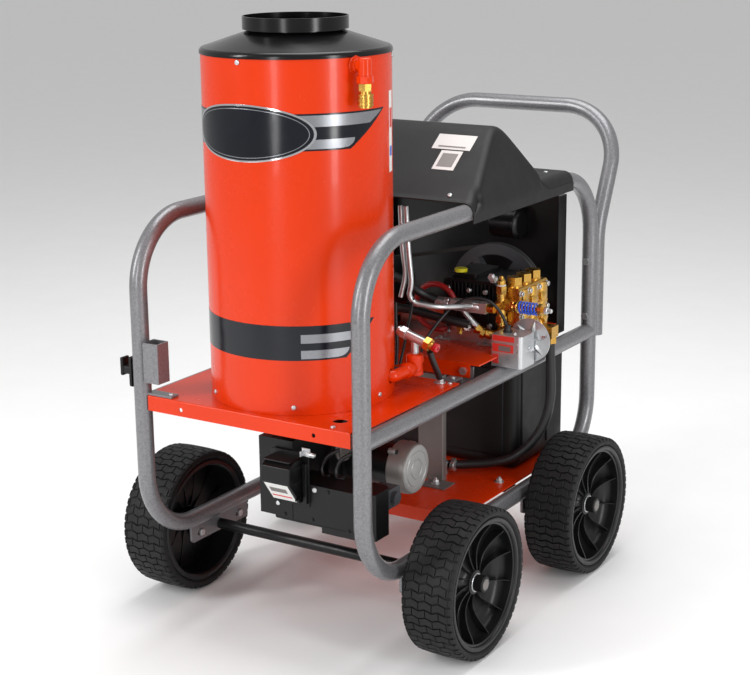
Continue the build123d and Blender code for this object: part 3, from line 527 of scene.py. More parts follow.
def tube(mesh, route, radius, sides=12):
    """A round bar along a list of places, with both ends closed."""
    side = square_to(route[1] - route[0])[0]
    rows = []
    for k, place in enumerate(route):
        along = (route[min(k + 1, len(route) - 1)] - route[max(k - 1, 0)]).normalized()
        side = (side - along * side.dot(along)).normalized()
        up = along.cross(side)
        rows.append([mesh.verts.new(place + (side * math.cos(2 * math.pi * n / sides)
                                             + up * math.sin(2 * math.pi * n / sides)) * radius * MM)
                     for n in range(sides)])
    for here, there in zip(rows, rows[1:]):
        for n in range(sides):
            mesh.faces.new((here[n], here[(n + 1) % sides], there[(n + 1) % sides], there[n]))
    mesh.faces.new(rows[0][::-1])
    mesh.faces.new(rows[-1])


def shell(mesh, outer, inner):
    """Joins two matching grids of places into one closed sheet."""
    grids = [[[mesh.verts.new(place) for place in row] for row in grid] for grid in (outer, inner)]
    rows, columns = len(outer), len(outer[0])
    for grid in grids:
        for r in range(rows - 1):
            for c in range(columns - 1):
                mesh.faces.new((grid[r][c], grid[r][c + 1], grid[r + 1][c + 1], grid[r + 1][c]))
    rim = [(0, c) for c in range(columns - 1)] + [(r, columns - 1) for r in range(rows - 1)]
    rim += [(rows - 1, c) for c in range(columns - 1, 0, -1)] + [(r, 0) for r in range(rows - 1, 0, -1)]
    for (r0, c0), (r1, c1) in zip(rim, rim[1:] + rim[:1]):
        mesh.faces.new((grids[0][r0][c0], grids[0][r1][c1], grids[1][r1][c1], grids[1][r0][c0]))


# ---------------------------------------------------------------- boiler

BADGE_HEIGHT = 1117.0
BADGE_HALF_ANGLE = 45.0
BADGE_HALF_HEIGHT = 56.0
FILM_COLUMNS = 96
FILM_BASE = 0.00004
SEAM_ANGLES = (168, 169, 172, 175, 176)
SEAM_HEIGHTS = (545, 800, 1100, 1262)
SEAM_LIFT = 0.0007


def jacket_point(radius, angle, height):
    """A place beside the jacket, its angle in radians from the front towards the left."""
    return Vector((JACKET.x + radius * math.sin(angle), JACKET.y - radius * math.cos(angle), height))


def jacket_film(name, material, low, high, span, lift, rows=12, oval=False):
    """A film on the jacket between two heights; span(share) gives its two edge angles in degrees."""
    grids = []
    for radius in (JACKET_R + lift * MM, JACKET_R + FILM_BASE):
        grid = []
        for row in range(rows + 1):
            share = row / rows
            if oval:
                share = (1 - math.cos(math.pi * share)) / 2
            start, end = span(share)
            height = (low + (high - low) * share) * MM
            angles = [math.radians(start + (end - start) * column / FILM_COLUMNS)
                      for column in range(FILM_COLUMNS + 1)]
            grid.append([jacket_point(radius, angle, height) for angle in angles])
        grids.append(grid)
    mesh = bmesh.new()
    shell(mesh, *grids)
    piece(name, mesh, "black_paint", material=material)


def oval_film(name, material, half_angle, half_height, lift):
    def span(share):
        half = half_angle * max(0.03, math.sqrt(max(0.0, 1 - (2 * share - 1) ** 2)))
        return -half, half
    jacket_film(name, material, BADGE_HEIGHT - half_height, BADGE_HEIGHT + half_height, span, lift, 28, True)


def stripe(name, material, low, high, start, end_low, end_high, lift, side=1, round_end=False):
    """A band from one angle to an end that slants, or curves, from its lower to its upper edge."""
    def span(share):
        reach = math.sqrt(max(0.0, 1 - (1 - share) ** 2)) if round_end else share
        ends = (start, end_low + (end_high - end_low) * reach)
        return ends if side > 0 else (-ends[1], -ends[0])
    jacket_film(name, material, low, high, span, lift)


def decals():
    oval_film("badge_rim", CHROME, BADGE_HALF_ANGLE + 0.8, BADGE_HALF_HEIGHT + 1.0, 1.2)
    oval_film("badge_field", NAVY_FILM, BADGE_HALF_ANGLE - 0.8, BADGE_HALF_HEIGHT - 2.4, 1.5)
    oval_film("badge_line", SILVER_FILM, BADGE_HALF_ANGLE - 3.2, BADGE_HALF_HEIGHT - 7.0, 1.65)
    oval_film("badge_middle", NAVY_FILM, BADGE_HALF_ANGLE - 3.7, BADGE_HALF_HEIGHT - 8.2, 1.8)
    for side, label in ((1, "left"), (-1, "right")):
        stripe(f"upper_edge_{label}", NAVY_FILM, 1084, 1157, 28, 67, 97, 0.25, side)
        stripe(f"upper_silver_{label}", SILVER_FILM, 1131, 1153.5, 28, 82, 94, 0.45, side)
        stripe(f"upper_gap_{label}", NAVY_FILM, 1107.5, 1129.5, 28, 76, 82, 0.4, side)
        stripe(f"middle_silver_{label}", SILVER_FILM, 1087.5, 1106, 28, 62, 70, 0.45, side, True)
    stripe("lower_band", NAVY_FILM, 659, 731, -118, 62, 84, 0.3)
    stripe("lower_silver_top", SILVER_FILM, 695, 713, 34, 72, 78, 0.45)
    stripe("lower_silver_bottom", SILVER_FILM, 662.5, 680, 34, 56, 64, 0.45, 1, True)
    stripe("side_label", WHITE_LABEL, 1019, 1185, 106, 113, 113, 0.3)
    stripe("side_label_red", RED_PRINT, 1110, 1150, 107, 112, 112, 0.4)
    stripe("side_label_blue", BLUE_PRINT, 1052, 1072, 107, 112, 112, 0.4)


def jacket_seam():
    """The lapped joint of the jacket sheet, round at the back."""
    grids = [[[jacket_point(radius, math.radians(angle), height * MM) for angle in SEAM_ANGLES]
              for height in SEAM_HEIGHTS] for radius in (JACKET_R + SEAM_LIFT, JACKET_R + FILM_BASE)]
    mesh = bmesh.new()
    shell(mesh, *grids)
    piece("jacket_seam", mesh, "orange_paint", bevel=0.0003)


def boiler_outlet():
    low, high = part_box("outlet_elbow")
    coupler = centre("quick_coupler")
    out = Vector((coupler.x - JACKET.x, coupler.y - JACKET.y, 0)).normalized()
    flange = Vector((JACKET.x, JACKET.y, high.z - 0.016)) + out * JACKET_R
    mesh = bmesh.new()
    turned(mesh, flange, out, [(0, 19), (2.4, 19), (3.2, 17.5), (3.2, 14), (10, 14), (11, 12.5)], 8)
    turned(mesh, (coupler.x, coupler.y, low.z - 0.001), UP, [(0, 15.4), (1, 17), (13, 17), (14.5, 15)], 8)
    piece("outlet_collar", mesh, "orange_paint", bevel=0.0006)
    sleeve = centre("coupler_sleeve")
    mesh = bmesh.new()
    for rise in (-9.5, -3.2, 0, 3.2, 9.5):
        foot = sleeve + Vector((0, 0, (rise - 0.9) * MM))
        turned(mesh, foot, UP, [(0, 15.9), (0.4, 16.6), (1.4, 16.6), (1.8, 15.9)])
    piece("coupler_ribs", mesh, "brass_parts", "coupler_ring")


# ---------------------------------------------------------------- hood and panels

HOOD_FRONT, HOOD_REAR = 411.0, 893.0
HOOD_FOOT, HOOD_HEEL = 420.0, 750.0
HOOD_RIDGE = (598.0, 634.0)
HOOD_LIP, HOOD_FLAT, HOOD_TOP = 938.0, 940.0, 1075.0
HOOD_RISE = HOOD_TOP - HOOD_FLAT
HOOD_RUN = HOOD_RIDGE[0] - HOOD_FOOT
HOOD_SOFTNESS = 9.0
HOOD_HALF = 300.0
HOOD_SKIRT = (895.0, 912.0)
HOOD_LEAN_FROM = 936.0
HOOD_LEAN = 55.0 / 139.0
HOOD_ROUND = 24.0
HOOD_WALL = 2.4
HOOD_ROWS = 64
HOOD_ARC_STEPS = 8


def hood_height(y):
    """The top's height along the hood, with the ridge and the rear foot rounded off."""
    front = HOOD_FLAT + (y - HOOD_FOOT) * HOOD_RISE / HOOD_RUN
    if y < HOOD_FOOT:
        front = HOOD_LIP + (y - HOOD_FRONT) * 0.2
    rear = HOOD_TOP - (y - HOOD_RIDGE[1]) * HOOD_RISE / (HOOD_HEEL - HOOD_RIDGE[1])
    slopes = (front, rear, HOOD_TOP + 2)
    height = -HOOD_SOFTNESS * math.log(sum(math.exp(-value / HOOD_SOFTNESS) for value in slopes))
    if y > HOOD_RIDGE[1]:
        shares = math.exp(height / HOOD_SOFTNESS) + math.exp(HOOD_FLAT / HOOD_SOFTNESS)
        height = HOOD_SOFTNESS * math.log(shares)
    return height


def hood_section(y, inset):
    """Half of the hood's outline at y, from the skirt's edge to the middle of the top."""
    top = hood_height(y) - inset
    half = HOOD_HALF - inset
    reach = HOOD_ROUND - inset
    lean_top = half - max(0.0, top - HOOD_LEAN_FROM) * HOOD_LEAN
    tilt = math.atan(HOOD_LEAN) if top > HOOD_LEAN_FROM + 30 else 0.0
    run = reach * math.tan((math.pi / 2 - tilt) / 2)
    middle = Vector((lean_top - run, top - reach))
    arc = []
    for step in range(HOOD_ARC_STEPS + 1):
        angle = tilt + (math.pi / 2 - tilt) * step / HOOD_ARC_STEPS
        arc.append(middle + Vector((math.cos(angle), math.sin(angle))) * reach)
    shoulder = Vector((half, min(HOOD_LEAN_FROM - 6, arc[0].y - 0.5)))
    side = [Vector((half, height)) for height in HOOD_SKIRT]
    side += [shoulder, shoulder.lerp(arc[0], 0.33), shoulder.lerp(arc[0], 0.66)]
    return side + arc + [Vector((middle.x * share, top)) for share in (0.75, 0.5, 0.25, 0.0)]


def hood_grid(inset):
    rows = []
    for row in range(HOOD_ROWS + 1):
        y = HOOD_FRONT + (HOOD_REAR - HOOD_FRONT) * row / HOOD_ROWS
        half = hood_section(y, inset)
        line = [at(point.x, y, point.y) for point in half]
        line += [at(-point.x, y, point.y) for point in half[-2::-1]]
        rows.append(line)
    return rows


def hood():
    mesh = bmesh.new()
    shell(mesh, hood_grid(0.0), hood_grid(HOOD_WALL))
    slab(mesh, (-254, 890, 898), (254, 892.6, 937))
    cover = piece("hood_cover", mesh, "black_plastic")
    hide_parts("hood")


def hood_label(name, material, x0, x1, y0, y1, lift=0.35):
    """A blank label on the hood's front slope."""
    out = Vector((0, -HOOD_RISE, HOOD_RUN)).normalized() * lift
    places = ((x0, y0), (x1, y0), (x1, y1), (x0, y1))
    corners = [(x + out.x, y + out.y, hood_height(y) + out.z) for x, y in places]
    sheet = bmesh.new()
    plate(sheet, corners, 0.5)
    piece(name, sheet, "black_plastic", material=material)


def hood_labels():
    hood_label("hood_plate", WHITE_LABEL, 124, 220, 536, 573)
    hood_label("hood_plate_line", MATERIALS["motor_grey"], 138, 206, 541, 544, 0.9)
    hood_label("hood_sticker", WHITE_LABEL, 152, 206, 487, 533)
    hood_label("hood_sticker_tone", MATERIALS["motor_grey"], 160, 198, 494, 526, 0.9)


def float_tank():
    mesh = bmesh.new()
    turned(mesh, at(60, 948, 790), LEFT, [(0, 30), (4, 36), (62, 36), (64, 38), (70, 38), (72, 34), (78, 30)])
    turned(mesh, at(92, 948, 824), UP, [(0, 8), (18, 8), (20, 5), (34, 5)])
    piece("float_chamber", mesh, "black_paint")


# ---------------------------------------------------------------- pump bay

THERMOSTAT_FACE = 572.0
DIAL_FACE = 641.6
DIAL_SPOKES = 6
DIAL_RIM_R = 0.0488
DIAL_BACK = Vector((0, 0.0012, 0))
SPOKE_SECTIONS = ((17, 4.5, 0.4), (26, 6.5, 1.6), (38, 4.0, 1.5), (45, 1.2, 0.3))
SPRING_TURNS = 6
SPRING_STEPS = 22
SPRING_WIRE = 2.3
PUMP_FACE = 288.0
PUMP_FRONT = 640.0
RELIEF_LEAN = Vector((0.957, 0, -0.29))


def thermostat():
    face = THERMOSTAT_FACE
    mesh = bmesh.new()
    for z in (572.5, 597.5):
        slab(mesh, (258.8, face - 0.9, z - 1.6), (324, face + 0.5, z + 1.6))
        slab(mesh, (333.5, 582, z - 1.6), (334.9, 639, z + 1.6))
    piece("thermostat_ridges", mesh, "zinc_steel", bevel=0.0007)
    mesh = bmesh.new()
    slab(mesh, (260.5, face - 0.4, 600.5), (315, face, 613))
    slab(mesh, (260.5, face - 0.4, 575.5), (313, face, 594))
    slab(mesh, (260.5, face - 0.4, 548), (276, face, 569.5))
    piece("thermostat_labels", mesh, "zinc_steel", material=RED_PRINT)
    mesh = bmesh.new()
    slab(mesh, (276, face - 0.55, 578), (306, face - 0.3, 590))
    piece("thermostat_label_tone", mesh, "zinc_steel", material=MATERIALS["motor_grey"])


def dial_spoke(mesh, middle, angle):
    """One pressed rib of the dial, a ridge between two edges let into the disc."""
    out = Vector((math.cos(angle), 0, math.sin(angle)))
    across = Vector((-math.sin(angle), 0, math.cos(angle)))
    rows = []
    for reach, half, rise in SPOKE_SECTIONS:
        spot = middle + out * reach * MM
        points = (spot + across * half * MM + DIAL_BACK, spot + Vector((0, -rise * MM, 0)),
                  spot - across * half * MM + DIAL_BACK)
        rows.append([mesh.verts.new(point) for point in points])
    for here, there in zip(rows, rows[1:]):
        for k in range(3):
            mesh.faces.new((here[k], here[(k + 1) % 3], there[(k + 1) % 3], there[k]))
    mesh.faces.new(rows[0])
    mesh.faces.new(rows[-1])


def thermostat_dial():
    dial = centre("thermostat_dial")
    middle = Vector((dial.x, at(0, DIAL_FACE, 0).y, dial.z))
    mesh = bmesh.new()
    for spoke in range(DIAL_SPOKES):
        dial_spoke(mesh, middle, math.radians(360 / DIAL_SPOKES * spoke + 15))
    angles = [2 * math.pi * n / 64 for n in range(65)]
    ring = [middle + Vector((math.cos(angle) * DIAL_RIM_R, 0, math.sin(angle) * DIAL_RIM_R)) + DIAL_BACK
            for angle in angles]
    tube(mesh, ring, 1.1, 8)
    turned(mesh, at(318, 645, 592), AFT, [(0, 12), (1.5, 12), (2.5, 9)])
    hex_head(mesh, at(318, 647, 592), AFT, 13, 6)
    piece("dial_star", mesh, "zinc_steel", "thermostat_knob")


def thermostat_fittings():
    mesh = bmesh.new()
    turned(mesh, at(282, 604, 615), UP, [(0, 11), (3, 11), (4, 8.5), (16, 6), (17, 5)])
    piece("cable_boot", mesh, "hose_rubber")
    mesh = bmesh.new()
    turned(mesh, at(304, 596, 615), UP, [(0, 5), (2, 5), (3, 3.5)])
    hex_head(mesh, at(334, 606, 583), LEFT, 8, 3)
    piece("thermostat_screws", mesh, "zinc_steel")


def unloader_spring():
    low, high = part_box("unloader_spring")
    middle = (low + high) / 2
    steps = SPRING_STEPS * SPRING_TURNS
    start, end = low.x + SPRING_WIRE * MM, high.x - SPRING_WIRE * MM
    reach = (high.y - low.y) / 2 - SPRING_WIRE * MM
    route = []
    for step in range(steps + 1):
        angle = 2 * math.pi * step / SPRING_STEPS
        route.append(Vector((start + (end - start) * step / steps, middle.y + reach * math.cos(angle),
                             middle.z + reach * math.sin(angle))))
    mesh = bmesh.new()
    tube(mesh, route, SPRING_WIRE, 10)
    coil = piece("spring_helix", mesh, "spring_blue")
    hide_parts("unloader_spring")


def unloader_fittings():
    low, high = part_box("unloader_spring")
    middle = (low + high) / 2
    rod = [(0, 4.3)]
    for turn in range(12):
        rod += [(1.2 * turn + 0.3, 4.3), (1.2 * turn + 0.7, 5.0), (1.2 * turn + 1.0, 4.3)]
    mesh = bmesh.new()
    turned(mesh, Vector((high.x + 0.0165, middle.y, middle.z)), LEFT, rod + [(15, 4.3), (16, 3.4)], 18)
    hex_head(mesh, Vector((high.x + 0.0155, middle.y, middle.z)), LEFT, 15, 7)
    piece("unloader_locknut", mesh, "zinc_steel", "unloader_knob")
    mesh = bmesh.new()
    washer(mesh, Vector((low.x - 0.003, middle.y, middle.z)), LEFT, 14.5, 2.6)
    turned(mesh, at(250, 632, 712), UP, [(0, 8), (3, 8), (4, 9.5), (12, 9.5), (14, 7), (22, 4.5), (23, 3)])
    turned(mesh, at(250, 632, 628), DOWN, [(0, 9), (8, 9), (9, 7)])
    hex_head(mesh, at(276, 632, 668), LEFT, 24, 9)
    piece("unloader_fittings", mesh, "brass_parts")
    mesh = bmesh.new()
    washer(mesh, at(250, 632, 712.4), UP, 10.5, 2.4)
    piece("unloader_seal", mesh, "brass_parts", material=WHITE_LABEL)


def pump_screws():
    mesh = bmesh.new()
    for y in (654, 695, 741, 782):
        for z in (693, 640, 590):
            washer(mesh, at(PUMP_FACE, y, z), LEFT, 7.2, 1.4)
            socket_screw(mesh, at(PUMP_FACE + 1.2, y, z), LEFT, 5.6, 6)
    for x, z in ((163, 690), (205, 690), (110, 690), (118, 612), (216, 612)):
        washer(mesh, at(x, PUMP_FRONT, z), FORE, 6.5, 1.2)
        hex_head(mesh, at(x, PUMP_FRONT - 1, z), FORE, 10, 4.5)
    turned(mesh, at(222, 646, 714), UP, [(0, 7.5), (4, 7.5), (5, 10.5), (13, 10.5), (14, 8)], 6)
    turned(mesh, at(222, PUMP_FRONT, 728), FORE, [(0, 8.5), (5, 8.5), (6, 6), (10, 6)], 6)
    piece("pump_screws", mesh, "zinc_steel")


def pump_castings():
    mesh = bmesh.new()
    for y in (672, 718, 764):
        turned(mesh, at(PUMP_FACE, y, 616), LEFT, [(0, 14), (5, 14), (6, 12), (9, 12), (10, 10)], 6)
        turned(mesh, at(PUMP_FACE, y, 668), LEFT, [(0, 15), (4, 15), (5.5, 13), (7, 8)])
    for z in (600, 652):
        slab(mesh, (PUMP_FACE - 1, 651, z), (PUMP_FACE + 3, 785, z + 5))
    piece("pump_head_bosses", mesh, "brass_parts", bevel=0.0008)
    mesh = bmesh.new()
    for step in range(12):
        x = 113 + 10 * step
        slab(mesh, (x, 636.5, 673), (x + 4.6, 641, 708))
    for x in (128, 170, 212):
        slab(mesh, (x, 637, 612), (x + 3, 641, 668))
    turned(mesh, at(180, PUMP_FRONT, 640), FORE, [(0, 16), (2, 16), (3, 13), (4.5, 13), (5, 11)])
    piece("crankcase_ribs", mesh, "black_paint", bevel=0.0009)


def rail_bolts():
    mesh = bmesh.new()
    for y in (655, 765):
        for x in (104, 214):
            hex_head(mesh, at(x, y, 600), UP, 9, 3)
    for x in (104, 214):
        hex_head(mesh, at(x, 642, 584), FORE, 11, 5)
        slab(mesh, (x - 26, 628, 566.2), (x + 10, 642, 569))
        hex_head(mesh, at(x - 14, 634, 569), UP, 10, 5)
    piece("rail_bolts", mesh, "zinc_steel", bevel=0.0004)


def pressure_line():
    mesh = bmesh.new()
    ferrule = [(0, 12.6), (3, 13.4), (6, 12.6), (20, 12.8), (22, 13.4), (25, 12.6)]
    turned(mesh, at(101, 600, 664), LEFT, ferrule)
    hex_head(mesh, at(126, 600, 664), LEFT, 24, 9)
    hex_head(mesh, at(141, 600, 664), LEFT, 26, 12)
    elbow = [(150, 600, 664), (168, 600, 664), (190, 600, 664), (206, 602, 664), (218, 606, 663)]
    tube(mesh, smooth_route(elbow, 4), 14.5, 20)
    turned(mesh, at(216, 606, 663), (1, 0.2, 0), [(0, 15), (8, 15), (9, 13)], 6)
    piece("pressure_elbow", mesh, "zinc_steel", bevel=0.0005)
    mesh = bmesh.new()
    tube(mesh, smooth_route([(168, 600, 655), (180, 602, 640), (196, 606, 622), (208, 610, 612)], 5), 7, 14)
    hex_head(mesh, at(186, 592, 616), (0.2, -1, 0.2), 15, 10)
    piece("bypass_branch", mesh, "zinc_steel")


def inlet_line():
    mesh = bmesh.new()
    tube(mesh, smooth_route([(204, 608, 612), (214, 612, 606), (228, 616, 600), (240, 630, 596)], 5), 11, 14)
    turned(mesh, at(200, 606, 614), (0.6, 0.2, -0.5), [(0, 12), (8, 12), (9, 10)], 6)
    turned(mesh, at(214, 606, 604), (0.7, 0.1, -0.3), [(0, 12.5), (9, 12.5), (10, 11)], 6)
    turned(mesh, at(168, 592, 618), (0, -0.4, -1), [(0, 9.5), (10, 9.5), (11, 7), (20, 7)], 6)
    piece("inlet_fittings", mesh, "brass_parts")


def relief_line():
    mesh = bmesh.new()
    cap = [(0, 9.6), (3, 10.4), (9, 10.4), (11, 8), (11, 4.4), (6, 4.0)]
    turned(mesh, centre("relief_valve") + RELIEF_LEAN * 0.0125, RELIEF_LEAN, cap, 8)
    piece("relief_cap", mesh, "brass_parts", material=RED_CAP)
    mesh = bmesh.new()
    washer(mesh, at(232, 386, 543.2), UP, 13, 2.4)
    turned(mesh, at(232, 386, 545), UP, [(0, 9.5), (6, 9.5), (7, 8)], 6)
    turned(mesh, at(101, 655, 252), LEFT, [(8, 12), (9, 12.8), (17, 12.8), (18, 12)])
    slab(mesh, (109, 651, 264), (119, 659, 270))
    piece("hose_clamps", mesh, "zinc_steel", bevel=0.0004)
    mesh = bmesh.new()
    tee = [(0, 14), (2, 18), (10, 18), (12, 16.4), (30, 16.4), (32, 19), (46, 19), (48, 16)]
    turned(mesh, at(195, 343, 567), UP, tee)
    turned(mesh, at(195, 300, 585), AFT, [(0, 13), (3, 17), (14, 17), (18, 16)])
    piece("tee_beads", mesh, "orange_paint")


def burner_leads():
    mesh = bmesh.new()
    thin = [(112, 474, 700), (106, 472, 660), (100, 468, 626), (94, 462, 585), (90, 452, 549)]
    tube(mesh, smooth_route(thin, 5), 3.4)
    tube(mesh, smooth_route([(78, 455, 690), (80, 452, 650), (84, 450, 600), (84, 446, 549)], 5), 4.2)
    piece("burner_leads", mesh, "hose_rubber")


# ---------------------------------------------------------------- burner

MOTOR_AXIS = (287.0, 375.0)
MOTOR_LUG_ANGLES = (40, 130, 220, 310)
MOTOR_LUG_REACH = 58.5
MOTOR_STEPS = 56
BOX_TOP, BOX_BOTTOM = (7.2, 395.5), (45.6, 343.4)
BOX_NORMAL = (0.81, 0.59)
BOX_SET = (2.6, 1.9)
SHIELD_FACE = 65.0


def on_motor_axis(mesh, profile):
    turned(mesh, at(0, *MOTOR_AXIS), LEFT, profile, MOTOR_STEPS)


def motor_lugs(mesh, profile, steps):
    y, z = MOTOR_AXIS
    for angle in MOTOR_LUG_ANGLES:
        across, up = math.cos(math.radians(angle)), math.sin(math.radians(angle))
        lug = at(0, y + MOTOR_LUG_REACH * across, z + MOTOR_LUG_REACH * up)
        turned(mesh, lug, LEFT, profile, steps)


def burner_motor():
    mesh = bmesh.new()
    on_motor_axis(mesh, [(74.6, 60), (79, 60), (80, 47), (96, 47), (97, 46), (128, 46), (129, 46.8),
                         (131, 46.8), (132, 46), (187, 46)])
    body = piece("motor_barrel", mesh, "motor_grey", material=MATERIALS["black_paint"])
    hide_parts("burner_motor")
    mesh = bmesh.new()
    on_motor_axis(mesh, [(186, 44), (186, 55), (188, 57), (216, 56.4), (226, 55), (229, 53.5)])
    motor_lugs(mesh, [(186, 7), (200, 7), (203, 5)], 14)
    piece("motor_bell", mesh, "motor_grey", bevel=0.0006)
    mesh = bmesh.new()
    on_motor_axis(mesh, [(228.4, 52.6), (230.6, 52), (231.4, 50), (231.4, 41), (230.4, 40), (230.4, 38.5),
                         (231.4, 37.5), (231.4, 23), (230.4, 22), (230.4, 20.5), (231.4, 19.5), (232, 14),
                         (232, 2)])
    piece("motor_bell_face", mesh, "motor_grey", material=BELL_FACE)
    mesh = bmesh.new()
    motor_lugs(mesh, [(182, 4.4), (184, 5), (206, 5), (207, 3.5)], 6)
    piece("motor_studs", mesh, "black_paint")


def box_label(name, material, x0, x1, share0, share1, lift):
    """A blank label on the control box's sloped front."""
    corners = []
    for x, share in ((x0, share0), (x1, share0), (x1, share1), (x0, share1)):
        y, z = (low + (high - low) * share for low, high in zip(BOX_BOTTOM, BOX_TOP))
        corners.append((x, y - BOX_NORMAL[0] * lift + BOX_SET[0], z - BOX_NORMAL[1] * lift + BOX_SET[1]))
    sheet = bmesh.new()
    plate(sheet, corners, 0.4)
    piece(name, sheet, "black_paint", material=material)


def control_box():
    mesh = bmesh.new()
    slab(mesh, (12, 62.4, 336), (106, 64.9, 452))
    slab(mesh, (94, 54, 344), (104, 64, 432))
    slab(mesh, (22, 17, 440.5), (88, 62, 444))
    for z in (356, 392, 424):
        slab(mesh, (91.5, 30, z), (93.5, 58, z + 6))
    piece("control_box_base", mesh, "black_paint", bevel=0.0012)
    box_label("control_label", WHITE_LABEL, 27, 86, 0.08, 0.94, 0.3)
    box_label("control_label_red", RED_PRINT, 31, 80, 0.26, 0.32, 0.75)
    box_label("control_label_tone", MATERIALS["motor_grey"], 34, 76, 0.5, 0.72, 0.75)


def igniter_bracket():
    mesh = bmesh.new()
    turned(mesh, at(118, SHIELD_FACE, 376), FORE, [(0, 6), (2, 6), (3.4, 4.4)], 18)
    turned(mesh, at(24, SHIELD_FACE, 330), FORE, [(0, 5), (2, 5), (3, 3.6)], 18)
    slab(mesh, (92, 58, 448), (112, 61, 466))
    slab(mesh, (92, 50, 448), (95, 60, 460))
    slab(mesh, (108, 48, 452), (128, 51, 462))
    turned(mesh, at(118, 50, 457), LEFT, [(0, 4.5), (12, 4.5), (13, 3)], 12)
    piece("igniter_bracket", mesh, "zinc_steel", bevel=0.0005)


def burner_cables():
    mesh = bmesh.new()
    for route, radius in (
        ([(124, 150, 440), (100, 140, 424), (90, 132, 400), (98, 128, 384), (112, 128, 386)], 4.2),
        ([(150, 156, 434), (132, 144, 420), (124, 136, 398), (132, 130, 384), (148, 132, 386)], 4.2),
        ([(20, 66, 430), (0, 80, 452), (-14, 110, 480), (-20, 150, 500)], 4.0),
    ):
        tube(mesh, smooth_route(route, 6), radius)
    piece("burner_cables", mesh, "hose_rubber")


def air_shutter():
    mesh = bmesh.new()
    turned(mesh, at(74.6, 236, 412), LEFT, [(0, 30), (4, 30), (8, 27), (12, 27), (13, 25)], 40)
    for step in range(10):
        angle = math.radians(36 * step)
        y, z = 236 + 18 * math.cos(angle), 412 + 18 * math.sin(angle)
        slab(mesh, (80, y - 4, z - 4), (90, y + 4, z + 4))
    piece("air_shutter", mesh, "motor_grey", bevel=0.0006)


def shield_details():
    mesh = bmesh.new()
    for x, z in ((40, 308), (110, 308), (200, 300), (246, 372), (150, 376)):
        turned(mesh, at(x, SHIELD_FACE, z), FORE, [(0, 4.5), (1.6, 4.5), (2.8, 3)], 14)
    slab(mesh, (60, 63.8, 300), (61.2, 65.4, 382))
    slab(mesh, (20, 63.6, 296.4), (254, 66, 299))
    piece("shield_details", mesh, "black_paint", bevel=0.0004)


# ---------------------------------------------------------------- decks, hubs and tank

AXLE_ROWS = (("front", 246.75), ("rear", 795.0))
AXLE_HEIGHT = 165.0
BRACKET_BOLT_Z = 168.0
BRACKET_BOLT_HALF = 72.0
FLOOR_BOLT_Z = 230.0


def standing_bolt(mesh, x, y, z, head, tip):
    """A washer, a hex head and the bolt's end, standing on a deck at z."""
    washer(mesh, at(x, y, z), UP, 11, 1.6)
    hex_head(mesh, at(x, y, z + 1.5), UP, 13, head)
    turned(mesh, at(x, y, z + 1.5 + head - 0.5), UP, tip, 14)


def deck_bolts():
    mesh = bmesh.new()
    for side in (-1, 1):
        standing_bolt(mesh, side * 232, 664, FLOOR_BOLT_Z, 7, [(0, 4), (4, 4), (5, 3)])
    standing_bolt(mesh, 113, 572, FLOOR_BOLT_Z + 3, 8, [(0, 4), (5, 4), (6, 3)])
    for _, end in AXLE_ROWS:
        for side in (-1, 1):
            for offset in (-BRACKET_BOLT_HALF, BRACKET_BOLT_HALF):
                y = end + offset
                washer(mesh, at(side * 281.2, y, BRACKET_BOLT_Z), (side, 0, 0), 11, 1.6)
                hex_head(mesh, at(side * 282.6, y, BRACKET_BOLT_Z), (side, 0, 0), 15, 7)
                hex_head(mesh, at(side * 274.8, y, BRACKET_BOLT_Z), (-side, 0, 0), 15, 6)
    piece("deck_bolts", mesh, "zinc_steel")


def deck_bridge():
    mesh = bmesh.new()
    slab(mesh, (226, 402, 543.2), (258, 440, 546))
    slab(mesh, (226, 438, 520), (258, 440.5, 546))
    piece("deck_bridge", mesh, "frame_paint", bevel=0.0006)
    mesh = bmesh.new()
    turned(mesh, at(243, 424, 546), UP, [(0, 5.5), (1.5, 5.5), (3, 4)], 16)
    piece("bridge_screw", mesh, "zinc_steel")


def hub_details():
    for end, y in AXLE_ROWS:
        for side, label in ((-1, "right"), (1, "left")):
            outward = (side, 0, 0)
            mesh = bmesh.new()
            dome = [(0, 12.5), (0.8, 12.3), (2.2, 9.5), (3.0, 5), (3.2, 1)]
            turned(mesh, at(side * 423.4, y, AXLE_HEIGHT), outward, dome, 32)
            piece(f"cap_dome_{end}_{label}", mesh, "black_plastic", material=MATERIALS["motor_grey"])
            mesh = bmesh.new()
            ring = [(0, 20.5), (1.4, 20.5), (2.2, 19.5), (2.2, 17)]
            turned(mesh, at(side * 400.2, y, AXLE_HEIGHT), outward, ring, 40)
            piece(f"hub_washer_{end}_{label}", mesh, "zinc_steel")


def tank():
    low, high = 262, 478
    mesh = bmesh.new()
    for side in (-1, 1):
        x0, x1 = sorted((side * 227, side * 233.5))
        for y0, y1 in ((776, 872), (908, 986)):
            slab(mesh, (x0, y0, low), (x1, y1, high))
    for x0, x1 in ((-196, -20), (20, 196)):
        for y0, y1 in ((746.5, 752), (1008, 1013.5)):
            slab(mesh, (x0, y0, low), (x1, y1, high))
    piece("tank_panels", mesh, "black_plastic", bevel=0.003)


# ---------------------------------------------------------------- camera and studio

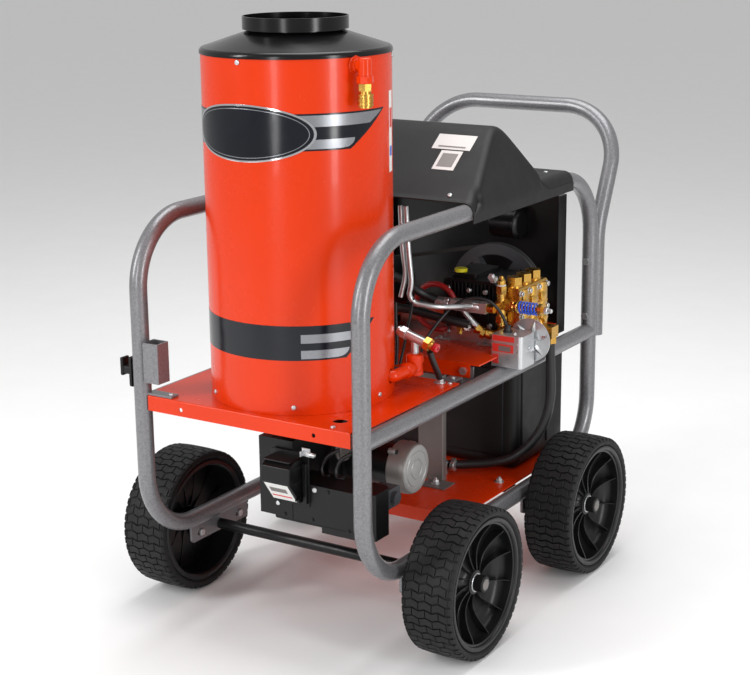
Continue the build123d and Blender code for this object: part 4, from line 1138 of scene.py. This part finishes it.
def camera():
    back = Vector((math.sin(CAMERA_AZIMUTH) * math.cos(CAMERA_ELEVATION),
                   -math.cos(CAMERA_AZIMUTH) * math.cos(CAMERA_ELEVATION), math.sin(CAMERA_ELEVATION)))
    right = Vector((math.cos(CAMERA_AZIMUTH), math.sin(CAMERA_AZIMUTH), 0))
    up = back.cross(right)
    rolled_right = right * math.cos(CAMERA_ROLL) + up * math.sin(CAMERA_ROLL)
    rolled_up = up * math.cos(CAMERA_ROLL) - right * math.sin(CAMERA_ROLL)
    turn = Matrix((rolled_right, rolled_up, back)).transposed().to_4x4()
    data = bpy.data.cameras.new("camera")
    data.lens = CAMERA_LENS
    data.sensor_width = SENSOR_WIDTH
    item = bpy.data.objects.new("camera", data)
    item.matrix_world = Matrix.Translation(CAMERA_PLACE) @ turn
    bpy.context.scene.collection.objects.link(item)
    bpy.context.scene.camera = item


def softbox(name, place, target, size, power):
    data = bpy.data.lights.new(name, "AREA")
    data.shape = "RECTANGLE"
    data.size, data.size_y = size
    data.energy = power
    item = bpy.data.objects.new(name, data)
    item.location = place
    item.rotation_euler = (Vector(target) - Vector(place)).to_track_quat("-Z", "Y").to_euler()
    bpy.context.scene.collection.objects.link(item)


def studio():
    world = bpy.data.worlds.new("studio")
    world.use_nodes = True
    world.node_tree.nodes["Background"].inputs["Color"].default_value = (1, 1, 1, 1)
    world.node_tree.nodes["Background"].inputs["Strength"].default_value = WORLD_STRENGTH
    bpy.context.scene.world = world
    bpy.context.scene.view_settings.view_transform = "Standard"
    softbox("key", (-2.4, -3.6, 2.6), (0, 0, 0.7), (0.7, 2.6), 85)
    softbox("side", (3.8, -1.2, 1.6), (0, 0, 0.6), (0.6, 2.6), 60)
    softbox("front", (0.6, -4.2, 1.5), (0, 0, 0.6), (0.5, 2.2), 30)
    softbox("top", (0, 0.4, 4.0), (0, 0, 0.5), (2.6, 2.6), 90)
    mesh = bmesh.new()
    bmesh.ops.create_grid(mesh, x_segments=2, y_segments=2, size=30)
    data = bpy.data.meshes.new("floor")
    mesh.to_mesh(data)
    mesh.free()
    floor = bpy.data.objects.new("floor", data)
    bpy.context.scene.collection.objects.link(floor)
    floor_paint = surface_finish("floor_paint", (0.9, 0.9, 0.9), tint=0.01, rough=(0.7, 0.8))
    data.materials.append(floor_paint)


camera()
studio()
dress_frame()
for make in (
    wheels, decals, jacket_seam, boiler_outlet, hood, hood_labels, float_tank, thermostat, thermostat_dial,
    thermostat_fittings, unloader_spring, unloader_fittings, pump_screws, pump_castings, rail_bolts,
    pressure_line, inlet_line, relief_line, burner_leads, burner_motor, control_box, igniter_bracket,
    burner_cables, air_shutter, shield_details, deck_bolts, deck_bridge, hub_details, tank,
):
    make()
